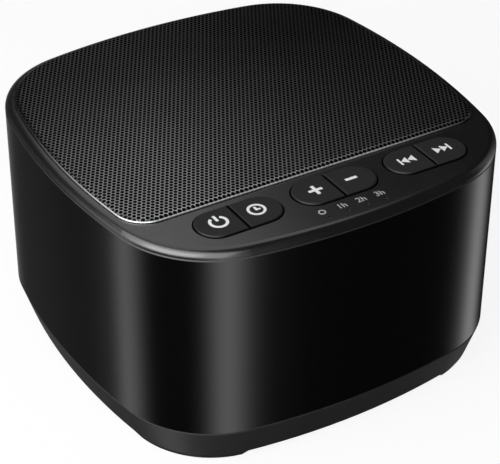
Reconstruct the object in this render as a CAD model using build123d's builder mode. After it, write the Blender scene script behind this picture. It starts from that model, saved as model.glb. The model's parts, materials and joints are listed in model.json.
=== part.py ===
from build123d import *
from math import pi, sqrt, tan
import os

# White noise sound machine: a square case with bulging sides that plays through a loudspeaker
# under a metal grille, with six push keys along the front edge of its deck.
# Millimetres. The origin is the middle of the footprint on the table, +Z is up, the keys are
# at the front, which faces -Y, and +X is to the right of someone who uses the keys.

# ------------------------------------------------------------------------- case sizes
case_width = 102.0  # across the middle of opposite sides, the same both ways
side_bulge = 6.2  # the middle of a side stands this far out from the sharp corners
corner_radius = 25.0
case_height = 60.0  # table to deck
wall = 2.4
fit_gap = 0.15  # between parts that plug into each other
seam_chamfer = 0.2  # both edges of a seam are broken by this

# Base pan and feet
floor_lift = 1.8  # underside of the floor above the table
floor_thickness = 2.0
base_seam = 10.2  # where the pan meets the housing wall
floor_inset = 2.6  # the tapered band is this much narrower at the floor
tongue_height = 2.4
tongue_thickness = 1.5
foot_lift = 0.4  # moulded foot above the table: the rubber pad fills the rest
foot_inset = 3.4
foot_width = 11.0
foot_length = 24.0  # from the front or the side of the case to the end of a foot
foot_end_slope = 1.2
pad_border = 0.7
pad_thickness = 1.3
pad_gap = 0.1

# Top cover
rim_round = 2.0
rim_land = 0.3  # upright part of the rim between its round and the seam
deck_thickness = 3.0
skirt_height = 3.4
grille_border = 0.3  # flat part of the deck between the rim's round and the grille
grille_corner = 7.5
grille_recess = 1.4
grille_gap = 0.2
grille_rise = 0.9  # the grille stands this far above the deck
grille_sheet = 0.5
grille_edge_round = 1.0
cloth_thickness = 0.3

# ------------------------------------------------------------------------- key sizes
row_border = 15.6  # from the side of the case to the end of the row of keys
pocket_spacing = 3.0
pocket_width = 10.6
grille_to_keys = 2.0  # between the grille and the pockets
key_gap = 0.35  # between a key and its pocket
key_split = 0.5  # between the two keys in a pocket
key_rise = 0.5  # the keys stand this far above the deck
key_round = 0.4
key_skin = 1.6
key_lip = 0.8  # the lip under the deck that keeps the key in its pocket
key_lip_thickness = 1.0
lip_gap = 0.1
stem_radius = 1.6
key_travel = 0.4
switch_size = 6.0
switch_height = 3.5
plunger_radius = 1.7
plunger_rise = 1.5
plunger_depth = 1.2  # the part of the plunger inside its switch
plunger_gap = 0.15

# Key board and its lights
board_thickness = 1.6
key_post_length = 11.0
key_post_radius = 2.0
key_post_offset = 0.2  # of a post's middle beyond the side of the pockets
key_board_inset = 4.8
key_board_border = 0.6  # of the board behind its rear posts
key_board_gap = 2.1  # between the board and the cover's side posts
light_pitch = 4.86
light_count = 4
light_hole = 1.0
light_pin = 0.8
led_setback = 1.8  # of the LEDs behind the dots
led_length = 1.6
led_width = 0.8
led_height = 0.7
guide_thickness = 1.4
guide_border = 1.2
guide_wall_gap = 0.3
guide_key_gap = 0.7  # between the light guide and the lips of the keys

# ------------------------------------------------------------------------- loudspeaker sizes
flange_radius = 28.5
frame_sheet = 0.8
ledge_depth = 10.2  # from the flange to the ledge of the spider
ledge_width = 4.2
ledge_offset = 4.6  # of the ledge within the mouth of the basket
frame_depth = 14.0  # from the flange to the floor of the basket
window_count = 6
window_width = 7.0
ear_offset = 2.0  # of the screws beyond the edge of the flange
ear_radius = 3.2
ear_post_length = 3.0  # from the deck down to the flange
gasket_width = 2.8
gasket_thickness = 0.8
gasket_shelf = 0.2  # the opening in the deck is this much narrower than the gasket
surround_rim = 2.5
surround_sheet = 0.4
surround_lap = 1.3  # glued on the edge of the cone
roll_width = 4.4
cone_sheet = 0.5
cone_depth = 8.0
cap_border = 1.3  # of the dust cap beyond the former
cap_height = 2.4
pole_radius = 6.8
coil_air = 0.5  # between the pole and the former
former_sheet = 0.3
coil_build = 0.75
coil_height = 4.5
plate_air = 0.45  # between the coil and the top plate
top_plate_radius = 16.0
top_plate_thickness = 3.0
magnet_setback = 1.7  # of the magnet behind the bore of the top plate
magnet_radius = 20.0
magnet_thickness = 8.0
yoke_setback = 1.0
yoke_thickness = 3.0
spider_sheet = 0.4
spider_wave = 0.5
spider_steps = 9
terminal_width = 8.0
terminal_overhang = 3.0  # of the terminal beyond the magnet
terminal_thickness = 1.0

# ------------------------------------------------------------------------- board and socket sizes
main_board_rise = 0.8  # of the main board above the pan's tongue
main_board_gap = 0.9  # between the board and the housing's posts
main_board_front = 4.0  # from the centre line forward to the board's front edge
main_board_inset = 3.4
board_boss_radius = 3.0
board_boss_border = 4.0  # from the board's edges to its screws
rear_boss_inset = 12.0  # from the rear of the case to the rear screws
socket_width = 7.8
socket_height = 2.7
socket_length = 5.6
socket_shell = 0.3
tongue_blade_width = 5.4
tongue_blade_thickness = 0.7
plug_recess_width = 12.0
plug_recess_height = 7.0
plug_recess_depth = 1.2
capacitor_radius = 3.15
capacitor_height = 7.0
capacitor_spacing = 1.9
capacitor_setback = 9.0  # from the rear board screws forward to the capacitors
sound_chip_x = 10.0  # left of the middle
sound_chip_y = 24.0
sound_chip_length = 10.0
sound_chip_width = 7.5
sound_chip_height = 1.8
small_chip_x = 12.0  # left and right of the middle
small_chip_y = 12.0
small_chip_length = 5.0
small_chip_width = 4.0
small_chip_height = 1.6
header_border = 1.0  # of a header beyond the ribbon on each side
key_header_depth = 4.5
key_header_height = 4.0
main_header_depth = 6.0
main_header_height = 2.6
speaker_header_offset = 1.0  # beyond the reach of the loudspeaker's terminal
speaker_header_length = 4.5
speaker_header_width = 6.0
speaker_header_height = 6.0

# ------------------------------------------------------------------------- screw and lead sizes
screw_gap = 0.05  # around a screw's thread in its bore
base_screw_radius = 1.3
base_screw_length = 12.0
base_screw_seat = 5.4  # where the head bears, above the table
post_radius = 3.4
post_height = 12.0  # of the housing's lower posts, above the seam
web = 1.6
cover_screw_radius = 1.1
cover_screw_length = 7.0
cover_screw_inset = 11.0  # from the sides of the case to the cover screws
cover_screw_setback = 25.0  # from the front and rear of the case to the cover screws
cover_post_length = 10.0  # from the deck down to the housing's tabs
lug_thickness = 2.5
board_screw_radius = 1.0
board_screw_length = 6.0
ear_screw_length = 3.5
head_scale = 1.9  # of a head's radius to its thread's
head_height = 1.5
recess_width = 0.6
recess_depth = 0.8
lead_gap = 0.3  # between the end of a lead and what it plugs into
lead_radius = 0.6
lead_pitch = 2.54
lead_bow = 1.5  # a lead leaves its terminal and swings out past it by this
ribbon_width = 10.2
ribbon_thickness = 0.8
# The ribbon's bends, as shares of its way across to the main board and of its drop that is left
RIBBON_BENDS = [(-0.05, 0.5), (0.16, 0.13), (0.6, 0)]

# ------------------------------------------------------------------------- case sizes that follow
half_width = case_width / 2
side_radius = ((half_width - side_bulge) ** 2 + side_bulge**2) / (2 * side_bulge)
foot_start = half_width - foot_length
rim_seam = case_height - rim_round - rim_land
deck_underside = case_height - deck_thickness
skirt_bottom = deck_underside - skirt_height
plug_inset = wall + fit_gap
liner_inset = plug_inset + tongue_thickness
grille_margin = rim_round + grille_border
recess_floor = case_height - grille_recess
grille_top = case_height + grille_rise
cover_screw_x = half_width - cover_screw_inset
cover_screw_y = half_width - cover_screw_setback
lug_top = deck_underside - cover_post_length

# Lights and keys, from the front of the case backwards
light_row = half_width - wall - guide_wall_gap - guide_border
led_row = light_row - led_setback
key_row = led_row - guide_border - guide_key_gap - key_lip - pocket_width / 2
grille_front = key_row - pocket_width / 2 - grille_to_keys
pocket_length = (case_width - 2 * row_border - 2 * pocket_spacing) / 3
pocket_pitch = pocket_length + pocket_spacing
key_reach = pocket_length / 4
key_post_reach = pocket_width / 2 + key_post_offset
key_top = case_height + key_rise
lip_top = deck_underside - lip_gap
lip_bottom = lip_top - key_lip_thickness
key_board_half_width = cover_screw_x - post_radius - key_board_gap
key_board_back = key_row - key_post_reach - key_post_radius - key_board_border
key_board_top = deck_underside - key_post_length
key_board_bottom = key_board_top - board_thickness
switch_top = key_board_top + switch_height
plunger_top = switch_top + plunger_rise

# Loudspeaker, from its flange inwards and downwards
speaker_y = (half_width - grille_margin - grille_front) / 2
gasket_inner = flange_radius - gasket_width
opening_radius = gasket_inner - gasket_shelf
surround_outer = gasket_inner - 2 * fit_gap
roll_outer = surround_outer - surround_rim
roll_inner = roll_outer - roll_width
surround_land = roll_inner - surround_lap
basket_mouth = roll_outer - 2 * fit_gap
ledge_outer = basket_mouth - ledge_offset
ledge_inner = ledge_outer - ledge_width
former_inner = pole_radius + coil_air
former_outer = former_inner + former_sheet
coil_outer = former_outer + coil_build
cap_radius = former_outer + cap_border
plate_bore = coil_outer + plate_air
magnet_inner = plate_bore + magnet_setback
yoke_radius = magnet_radius - yoke_setback
terminal_reach = magnet_radius + terminal_overhang
flange_top = deck_underside - ear_post_length
flange_bottom = flange_top - frame_sheet
ledge = flange_top - ledge_depth
basket_floor = flange_top - frame_depth
plate_top = basket_floor - frame_sheet
plate_bottom = plate_top - top_plate_thickness
magnet_bottom = plate_bottom - magnet_thickness
yoke_bottom = magnet_bottom - yoke_thickness

# Main board and socket
main_board_lift = base_seam + tongue_height + main_board_rise
main_board_top = main_board_lift + board_thickness
board_boss_front = board_boss_border - main_board_front
board_boss_rear = half_width - rear_boss_inset
capacitor_y = board_boss_rear - capacitor_setback
socket_z = main_board_top + socket_height / 2

CORNERS = {"front_left": (-1, -1), "front_right": (1, -1), "rear_left": (-1, 1), "rear_right": (1, 1)}
KEYS = {
    "power": (-pocket_pitch, -1),
    "timer": (-pocket_pitch, 1),
    "volume_up": (0, -1),
    "volume_down": (0, 1),
    "previous": (pocket_pitch, -1),
    "next": (pocket_pitch, 1),
}
POCKET_PLACES = [(-pocket_pitch, -key_row), (0, -key_row), (pocket_pitch, -key_row)]
# Each chip: its middle on the main board, then its length, width and height
CHIPS = {
    "sound_chip": [(-sound_chip_x, sound_chip_y), sound_chip_length, sound_chip_width, sound_chip_height],
    "memory_chip": [(-small_chip_x, small_chip_y), small_chip_length, small_chip_width, small_chip_height],
    "amplifier_chip": [(small_chip_x, small_chip_y), small_chip_length, small_chip_width, small_chip_height],
}


# ------------------------------------------------------------------------- shared shapes
def corner_reach(inset):
    """How far out in X, and in Y, two neighbouring side arcs meet when both are drawn in by an inset."""
    shift = side_radius - half_width
    return (sqrt(2 * (side_radius - inset) ** 2 - shift**2) - shift) / 2


def case_outline(inset=0.0):
    """The case seen from above: four bulging sides with rounded corners, drawn in by an inset."""
    middle = half_width - inset
    corner = corner_reach(inset)
    with BuildSketch(mode=Mode.PRIVATE) as outline:
        with BuildLine():
            ThreePointArc((-corner, -corner), (0, -middle), (corner, -corner))
            ThreePointArc((corner, -corner), (middle, 0), (corner, corner))
            ThreePointArc((corner, corner), (0, middle), (-corner, corner))
            ThreePointArc((-corner, corner), (-middle, 0), (-corner, -corner))
        make_face()
        fillet(outline.vertices(), corner_radius - inset)
    return outline.sketch


def case_band(outer, inner):
    """The ring between two insets of the case outline."""
    with BuildSketch(mode=Mode.PRIVATE) as band:
        add(case_outline(outer))
        add(case_outline(inner), mode=Mode.SUBTRACT)
    return band.sketch


def grille_outline(inset=0.0):
    """The grille seen from above: it follows the case behind a straight front edge, with round corners."""
    margin = grille_margin + inset
    middle = half_width - margin
    corner = corner_reach(margin)
    front = inset - grille_front
    front_x = sqrt((side_radius - margin) ** 2 - front**2) - (side_radius - half_width)
    with BuildSketch(mode=Mode.PRIVATE) as outline:
        with BuildLine():
            Line((-front_x, front), (front_x, front))
            ThreePointArc((front_x, front), (middle, 0), (corner, corner))
            ThreePointArc((corner, corner), (0, middle), (-corner, corner))
            ThreePointArc((-corner, corner), (-middle, 0), (-front_x, front))
        make_face()
        front_corners = outline.vertices().group_by(Axis.Y)[0]
        fillet(front_corners, grille_corner - inset)
        rear_corners = outline.vertices().group_by(Axis.Y)[-1]
        fillet(rear_corners, corner_radius - margin)
    return outline.sketch


def foot_outline(border):
    """The four feet seen from above: bands that follow the rounded corners, drawn in by a border."""
    start = foot_start + foot_end_slope + border
    with BuildSketch(mode=Mode.PRIVATE) as feet:
        add(case_band(foot_inset + border, foot_inset + foot_width - border))
        Rectangle(case_width, 2 * start, mode=Mode.SUBTRACT)
        Rectangle(2 * start, case_width, mode=Mode.SUBTRACT)
    return feet.sketch


def corner_posts():
    """Four round posts over the middle of the feet, each with a web that runs out to the wall."""
    with BuildSketch(mode=Mode.PRIVATE) as posts:
        with PolarLocations(foot_circle, len(CORNERS), start_angle=45):
            Circle(post_radius)
            Rectangle(corner_radius, web, align=(Align.MIN, Align.CENTER))
        add(case_outline(wall / 2), mode=Mode.INTERSECT)
    return posts.sketch


def cover_lugs():
    """Four tabs on the inside of the wall, under the posts of the top cover."""
    with BuildSketch(mode=Mode.PRIVATE) as lugs:
        with GridLocations(2 * cover_screw_x, 2 * cover_screw_y, 2, 2):
            Rectangle(2 * (half_width - cover_screw_x), 2 * post_radius)
        Rectangle(2 * (cover_screw_x - post_radius), case_width, mode=Mode.SUBTRACT)
        add(case_outline(wall / 2), mode=Mode.INTERSECT)
    return lugs.sketch


def key_outline(pocket_x, side, inset):
    """One half of a pill-shaped pocket, drawn in by an inset and cut straight at the split."""
    align_x = Align.MIN if side > 0 else Align.MAX
    with BuildSketch(mode=Mode.PRIVATE) as outline:
        with Locations((pocket_x, -key_row)):
            SlotOverall(pocket_length - 2 * inset, pocket_width - 2 * inset)
        with Locations((pocket_x + side * (key_split / 2 + max(inset - key_gap, 0)), -key_row)):
            Rectangle(pocket_length, 2 * pocket_width, align=(align_x, Align.CENTER), mode=Mode.INTERSECT)
    return outline.sketch


def columns(points, radius, bottom, top, mode=Mode.ADD):
    """Round columns, or holes, at some points between two heights."""
    with BuildSketch(Plane.XY.offset(bottom), mode=Mode.PRIVATE) as sections:
        with Locations(*points):
            Circle(radius)
    extrude(sections.sketch, amount=top - bottom, mode=mode)


def blocks(points, length, width, bottom, top, mode=Mode.ADD):
    """Upright rectangular blocks, or cuts, at some points between two heights."""
    with BuildSketch(Plane.XY.offset(bottom), mode=Mode.PRIVATE) as sections:
        with Locations(*points):
            Rectangle(length, width)
    extrude(sections.sketch, amount=top - bottom, mode=mode)


def screws(points, radius, seat, length, head):
    """Pan-head screws driven upwards: the heads bear on a seat, with a crossed driver recess below."""
    columns(points, radius * head_scale, seat - head, seat)
    columns(points, radius, seat, seat + length)
    for length_x, length_y in ((2 * radius, recess_width), (recess_width, 2 * radius)):
        blocks(points, length_x, length_y, seat - head, seat - head + recess_depth, mode=Mode.SUBTRACT)


def speaker_ring(inner, outer, bottom, top):
    """A flat ring around the loudspeaker's axis."""
    with BuildSketch(Plane.XY.offset(bottom), mode=Mode.PRIVATE) as ring:
        with Locations((0, speaker_y)):
            Circle(outer)
            Circle(inner, mode=Mode.SUBTRACT)
    extrude(ring.sketch, amount=top - bottom)


def bend_radii(points):
    """The largest even bends of a route: 0.45 of each corner's shorter run over tan(half its turn)."""
    runs = [Vector(b) - Vector(a) for a, b in zip(points, points[1:])]
    radii = []
    for before, after in zip(runs, runs[1:]):
        turn = before.get_angle(after) * pi / 180
        radii.append(0.45 * min(before.length, after.length) / tan(turn / 2))
    return radii


def save(piece, name):
    """Label a finished piece and write it to a file of that name."""
    piece.part.label = name
    export_step(piece.part, f"parts/{name}.step")


os.makedirs("parts", exist_ok=True)

corner_centre = corner_reach(corner_radius)
foot_middle = corner_centre + (corner_radius - foot_inset - foot_width / 2) / sqrt(2)
foot_circle = foot_middle * sqrt(2)
main_board_half_width = foot_middle - post_radius - main_board_gap
board_boss_x = main_board_half_width - board_boss_border
base_screw_points = [(x * foot_middle, y * foot_middle) for x, y in CORNERS.values()]
cover_screw_points = [(x * cover_screw_x, y * cover_screw_y) for x, y in CORNERS.values()]
key_screw_points = [(x * pocket_pitch / 2, y * key_post_reach - key_row) for x, y in CORNERS.values()]
board_screw_points = [(x * board_boss_x, y) for x in (-1, 1) for y in (board_boss_front, board_boss_rear)]
outer_capacitor_x = board_boss_x - board_boss_radius - capacitor_radius
inner_capacitor_x = outer_capacitor_x - 2 * capacitor_radius - capacitor_spacing
capacitor_points = [(outer_capacitor_x, capacitor_y), (inner_capacitor_x, capacitor_y)]
ear_reach = (flange_radius + ear_offset) / sqrt(2)
ear_points = [(x * ear_reach, speaker_y + y * ear_reach) for x, y in CORNERS.values()]
light_points = [((i - (light_count - 1) / 2) * light_pitch, -light_row) for i in range(light_count)]
led_points = [(x, -led_row) for x, y in light_points]
speaker_plane = Plane.XZ.offset(-speaker_y)
speaker_axis = Axis((0, speaker_y, 0), (0, 0, 1))
rear_plane = Plane(origin=(0, half_width, socket_z), x_dir=(-1, 0, 0), z_dir=(0, 1, 0))

# ------------------------------------------------------------------------- base pan
with BuildPart() as base_pan:
    # Solid form: feet that taper down from the floor, the band that flares up, and its broken top edge
    levels = [
        (foot_lift, foot_inset),
        (floor_lift, floor_inset),
        (base_seam - seam_chamfer, 0),
        (base_seam, seam_chamfer),
    ]
    for (lower, lower_inset), (upper, upper_inset) in zip(levels, levels[1:]):
        with BuildSketch(Plane.XY.offset(lower)):
            add(case_outline(lower_inset))
        with BuildSketch(Plane.XY.offset(upper)):
            add(case_outline(upper_inset))
        loft(ruled=True)
    # Clear the middle and the sides under the floor, which leaves the four corner feet
    for side_plane in (Plane.XZ, Plane.YZ):
        with BuildSketch(side_plane):
            with BuildLine():
                Polyline(
                    (-foot_start, floor_lift),
                    (foot_start, floor_lift),
                    (foot_start + foot_end_slope, foot_lift),
                    (-foot_start - foot_end_slope, foot_lift),
                    close=True,
                )
            make_face()
        extrude(amount=half_width, both=True, mode=Mode.SUBTRACT)
    with BuildSketch(Plane.XY.offset(foot_lift)):
        add(case_outline(foot_inset + foot_width))
    extrude(amount=floor_lift - foot_lift, mode=Mode.SUBTRACT)
    # Tongue that plugs into the housing wall, and the hollow inside
    with BuildSketch(Plane.XY.offset(base_seam)):
        add(case_outline(plug_inset))
    extrude(amount=tongue_height)
    with BuildSketch(Plane.XY.offset(floor_lift + floor_thickness)):
        add(case_outline(liner_inset))
    extrude(amount=case_height, mode=Mode.SUBTRACT)
    # Bosses for the base screws and for the main board
    columns(base_screw_points, post_radius, floor_lift, base_seam)
    columns(board_screw_points, board_boss_radius, floor_lift, main_board_lift)
    columns(base_screw_points, base_screw_radius + fit_gap, foot_lift, base_seam, mode=Mode.SUBTRACT)
    head_room = base_screw_radius * head_scale + fit_gap
    columns(base_screw_points, head_room, foot_lift, base_screw_seat, mode=Mode.SUBTRACT)
    board_bore = board_screw_radius + screw_gap
    bore_bottom = main_board_top - board_screw_length - 2 * fit_gap
    columns(board_screw_points, board_bore, bore_bottom, main_board_lift, mode=Mode.SUBTRACT)
    # Seats of the rubber pads
    with BuildSketch(Plane.XY.offset(foot_lift)):
        add(foot_outline(pad_border - pad_gap))
    extrude(amount=pad_thickness - foot_lift, mode=Mode.SUBTRACT)
save(base_pan, "base_pan")

# ------------------------------------------------------------------------- foot pads
for name, (side_x, side_y) in CORNERS.items():
    with BuildPart() as foot_pad:
        with BuildSketch():
            add(foot_outline(pad_border))
            with Locations((side_x * half_width / 2, side_y * half_width / 2)):
                Rectangle(half_width, half_width, mode=Mode.INTERSECT)
        extrude(amount=pad_thickness)
    save(foot_pad, f"foot_pad_{name}")

# ------------------------------------------------------------------------- housing wall
with BuildPart() as housing_wall:
    with BuildSketch(Plane.XY.offset(base_seam)):
        add(case_band(0, wall))
    extrude(amount=rim_seam - base_seam)
    for end_face in (housing_wall.faces().sort_by(Axis.Z)[0], housing_wall.faces().sort_by(Axis.Z)[-1]):
        chamfer(end_face.outer_wire().edges(), seam_chamfer)
    # Posts over the feet, cut clear of the pan's tongue, and tabs for the top cover
    with BuildSketch(Plane.XY.offset(base_seam + tongue_height + fit_gap)):
        add(corner_posts())
    extrude(amount=post_height - tongue_height - fit_gap)
    columns(base_screw_points, post_radius, base_seam, base_seam + post_height)
    with BuildSketch(Plane.XY.offset(lug_top - lug_thickness)):
        add(cover_lugs())
    extrude(amount=lug_thickness)
    base_bore_top = base_screw_seat + base_screw_length + 2 * fit_gap
    columns(base_screw_points, base_screw_radius + screw_gap, base_seam, base_bore_top, mode=Mode.SUBTRACT)
    lug_hole = cover_screw_radius + fit_gap
    columns(cover_screw_points, lug_hole, lug_top - lug_thickness, lug_top, mode=Mode.SUBTRACT)
    # Rear inlet: a shallow recess for the plug's body and a slot for the socket's shell
    with BuildSketch(rear_plane):
        SlotOverall(plug_recess_width, plug_recess_height)
    extrude(amount=-plug_recess_depth, mode=Mode.SUBTRACT)
    with BuildSketch(rear_plane):
        RectangleRounded(socket_width + 2 * fit_gap, socket_height + 2 * fit_gap, 2 * socket_shell)
    extrude(amount=-2 * wall, mode=Mode.SUBTRACT)
save(housing_wall, "housing_wall")

# ------------------------------------------------------------------------- top cover
with BuildPart() as top_cover:
    with BuildSketch(Plane.XY.offset(rim_seam)):
        add(case_outline())
    extrude(amount=case_height - rim_seam)
    fillet(top_cover.faces().sort_by(Axis.Z)[-1].outer_wire().edges(), rim_round)
    chamfer(top_cover.faces().sort_by(Axis.Z)[0].outer_wire().edges(), seam_chamfer)
    with BuildSketch(Plane.XY.offset(deck_underside)):
        add(case_outline(plug_inset))
    extrude(amount=rim_seam - deck_underside)
    with BuildSketch(Plane.XY.offset(skirt_bottom)):
        add(case_band(plug_inset, liner_inset))
    extrude(amount=skirt_height)
    # The skirt stops short of the light guide
    notch_width = light_count * light_pitch + 2 * guide_border
    notch_depth = 2 * (half_width - led_row + guide_border)
    blocks([(0, -half_width)], notch_width, notch_depth, skirt_bottom, deck_underside, mode=Mode.SUBTRACT)
    # Seat of the grille and the opening over the loudspeaker, with a rib around it
    with BuildSketch(Plane.XY.offset(recess_floor)):
        add(grille_outline(-grille_gap))
    extrude(amount=grille_recess, mode=Mode.SUBTRACT)
    speaker_ring(gasket_inner, flange_radius, flange_top + gasket_thickness, deck_underside)
    columns([(0, speaker_y)], opening_radius, deck_underside, recess_floor, mode=Mode.SUBTRACT)
    # Posts for the loudspeaker's ears, the key board and the housing's tabs
    columns(ear_points, ear_radius, flange_top, deck_underside)
    columns([(0, speaker_y)], flange_radius, flange_top, flange_top + gasket_thickness, mode=Mode.SUBTRACT)
    columns(key_screw_points, key_post_radius, key_board_top, deck_underside)
    columns(cover_screw_points, post_radius, lug_top, deck_underside)
    ear_bore_top = flange_bottom + ear_screw_length + fit_gap
    columns(ear_points, cover_screw_radius + screw_gap, flange_top, ear_bore_top, mode=Mode.SUBTRACT)
    key_bore_top = key_board_bottom + board_screw_length + 2 * fit_gap
    columns(key_screw_points, board_bore, key_board_top, key_bore_top, mode=Mode.SUBTRACT)
    cover_bore_top = lug_top - lug_thickness + cover_screw_length + 2 * fit_gap
    columns(cover_screw_points, cover_screw_radius + screw_gap, lug_top, cover_bore_top, mode=Mode.SUBTRACT)
    # Pockets of the keys and holes of the indicator dots
    with BuildSketch(Plane.XY.offset(deck_underside)):
        with Locations(*POCKET_PLACES):
            SlotOverall(pocket_length, pocket_width)
    extrude(amount=deck_thickness, mode=Mode.SUBTRACT)
    columns(light_points, light_hole / 2, deck_underside, case_height, mode=Mode.SUBTRACT)
save(top_cover, "top_cover")

# ------------------------------------------------------------------------- grille and dust cloth
with BuildPart() as grille:
    with BuildSketch(Plane.XY.offset(recess_floor)):
        add(grille_outline())
    extrude(amount=grille_top - recess_floor)
    fillet(grille.faces().sort_by(Axis.Z)[-1].outer_wire().edges(), grille_edge_round)
    with BuildSketch(Plane.XY.offset(recess_floor)):
        add(grille_outline(grille_sheet))
    extrude(amount=grille_top - grille_sheet - recess_floor, mode=Mode.SUBTRACT)
save(grille, "grille")

with BuildPart() as dust_cloth:
    with BuildSketch(Plane.XY.offset(grille_top - grille_sheet - cloth_thickness)):
        add(grille_outline(grille_sheet + grille_gap))
    extrude(amount=cloth_thickness)
save(dust_cloth, "dust_cloth")

# ------------------------------------------------------------------------- keys and switches
for name, (pocket_x, side) in KEYS.items():
    key_place = [(pocket_x + side * key_reach, -key_row)]

    with BuildPart() as key:
        with BuildSketch(Plane.XY.offset(lip_top)):
            add(key_outline(pocket_x, side, key_gap))
        extrude(amount=key_top - lip_top)
        fillet(key.faces().sort_by(Axis.Z)[-1].outer_wire().edges(), key_round)
        with BuildSketch(Plane.XY.offset(lip_bottom)):
            add(key_outline(pocket_x, side, -key_lip))
        extrude(amount=key_lip_thickness)
        with BuildSketch(Plane.XY.offset(lip_bottom)):
            add(key_outline(pocket_x, side, key_gap + key_skin))
        extrude(amount=key_top - key_skin - lip_bottom, mode=Mode.SUBTRACT)
        columns(key_place, stem_radius, plunger_top, key_top - key_skin)
    save(key, f"key_{name}")

    with BuildPart() as plunger:
        columns(key_place, plunger_radius, switch_top - plunger_depth, plunger_top)
    save(plunger, f"plunger_{name}")

    with BuildPart() as switch:
        blocks(key_place, switch_size, switch_size, key_board_top, switch_top)
        well_bottom = switch_top - plunger_depth - 2 * key_travel
        columns(key_place, plunger_radius + plunger_gap, well_bottom, switch_top, mode=Mode.SUBTRACT)
    save(switch, f"switch_{name}")

# ------------------------------------------------------------------------- key board and lights
with BuildPart() as key_board:
    with BuildSketch(Plane.XY.offset(key_board_bottom)):
        add(case_outline(key_board_inset))
        with Locations((0, -key_board_back)):
            Rectangle(
                2 * key_board_half_width, half_width, align=(Align.CENTER, Align.MAX), mode=Mode.INTERSECT
            )
        with Locations(*key_screw_points):
            Circle(board_screw_radius + fit_gap, mode=Mode.SUBTRACT)
    extrude(amount=board_thickness)
save(key_board, "key_board")

with BuildPart() as indicator_leds:
    blocks(led_points, led_length, led_width, key_board_top, key_board_top + led_height)
save(indicator_leds, "indicator_leds")

with BuildPart() as light_guide:
    guide_front = light_row + guide_border
    guide_back = led_row - guide_border
    guide_length = (light_count - 1) * light_pitch + 2 * guide_border
    guide_middle = [(0, -(guide_front + guide_back) / 2)]
    guide_bottom = deck_underside - guide_thickness
    blocks(guide_middle, guide_length, guide_front - guide_back, guide_bottom, deck_underside)
    columns(light_points, light_pin / 2, deck_underside, case_height - seam_chamfer)
    columns(led_points, led_width / 2, key_board_top + led_height, guide_bottom)
save(light_guide, "light_guide")

with BuildPart() as key_board_screws:
    screws(key_screw_points, board_screw_radius, key_board_bottom, board_screw_length, head_height)
save(key_board_screws, "key_board_screws")

with BuildPart() as key_board_header:
    key_header_bottom = key_board_bottom - key_header_height
    header_width = ribbon_width + 2 * header_border
    blocks([(0, -key_row)], header_width, key_header_depth, key_header_bottom, key_board_bottom)
save(key_board_header, "key_board_header")

# ------------------------------------------------------------------------- loudspeaker, fixed pieces
with BuildPart() as speaker_basket:
    with BuildSketch(speaker_plane):
        with BuildLine():
            Polyline(
                (flange_radius, flange_top),
                (flange_radius, flange_bottom),
                (basket_mouth + frame_sheet, flange_bottom),
                (ledge_outer + frame_sheet, ledge - frame_sheet),
                (ledge_inner + frame_sheet, ledge - frame_sheet),
                (ledge_inner + frame_sheet, plate_top),
                (plate_bore + fit_gap, plate_top),
                (plate_bore + fit_gap, basket_floor),
                (ledge_inner, basket_floor),
                (ledge_inner, ledge),
                (ledge_outer, ledge),
                (basket_mouth, flange_top),
                close=True,
            )
        make_face()
    revolve(axis=speaker_axis)
    # Windows behind the cone, and ears for the screws
    with BuildSketch(Plane.XY.offset(ledge + frame_sheet)):
        with Locations((0, speaker_y)):
            with PolarLocations(basket_mouth, window_count):
                Rectangle(2 * (basket_mouth - ledge_outer), window_width)
    extrude(amount=ledge_depth - 3 * frame_sheet, mode=Mode.SUBTRACT)
    columns(ear_points, ear_radius, flange_bottom, flange_top)
    ear_hole = cover_screw_radius + fit_gap
    columns(ear_points, ear_hole, flange_bottom, flange_top, mode=Mode.SUBTRACT)
save(speaker_basket, "speaker_basket")

with BuildPart() as speaker_gasket:
    speaker_ring(gasket_inner, flange_radius - fit_gap, flange_top, flange_top + gasket_thickness)
save(speaker_gasket, "speaker_gasket")

with BuildPart() as speaker_top_plate:
    speaker_ring(plate_bore, top_plate_radius, plate_bottom, plate_top)
save(speaker_top_plate, "speaker_top_plate")

with BuildPart() as speaker_magnet:
    speaker_ring(magnet_inner, magnet_radius, magnet_bottom, plate_bottom)
save(speaker_magnet, "speaker_magnet")

with BuildPart() as speaker_yoke:
    columns([(0, speaker_y)], yoke_radius, yoke_bottom, magnet_bottom)
    columns([(0, speaker_y)], pole_radius, magnet_bottom, plate_top)
save(speaker_yoke, "speaker_yoke")

with BuildPart() as speaker_terminal:
    terminal_top = ledge - frame_sheet
    terminal_inner = ledge_inner + frame_sheet + fit_gap
    terminal_length = terminal_reach - terminal_inner
    terminal_place = [(terminal_inner + terminal_length / 2, speaker_y)]
    blocks(terminal_place, terminal_length, terminal_width, terminal_top - terminal_thickness, terminal_top)
save(speaker_terminal, "speaker_terminal")

with BuildPart() as speaker_screws:
    screws(ear_points, cover_screw_radius, flange_bottom, ear_screw_length, head_height)
save(speaker_screws, "speaker_screws")

# ------------------------------------------------------------------------- loudspeaker, moving pieces
with BuildPart() as speaker_cone:
    neck_bottom = flange_top - cone_depth
    neck_radius = former_outer + screw_gap
    with BuildSketch(speaker_plane):
        with BuildLine():
            Polyline(
                (roll_inner, flange_top),
                (roll_inner, flange_top - cone_sheet),
                (surround_land, flange_top - 2 * cone_sheet),
                (neck_radius, neck_bottom),
                (neck_radius, neck_bottom + 2 * cone_sheet),
                (surround_land, flange_top),
                close=True,
            )
        make_face()
    revolve(axis=speaker_axis)
save(speaker_cone, "speaker_cone")

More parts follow.
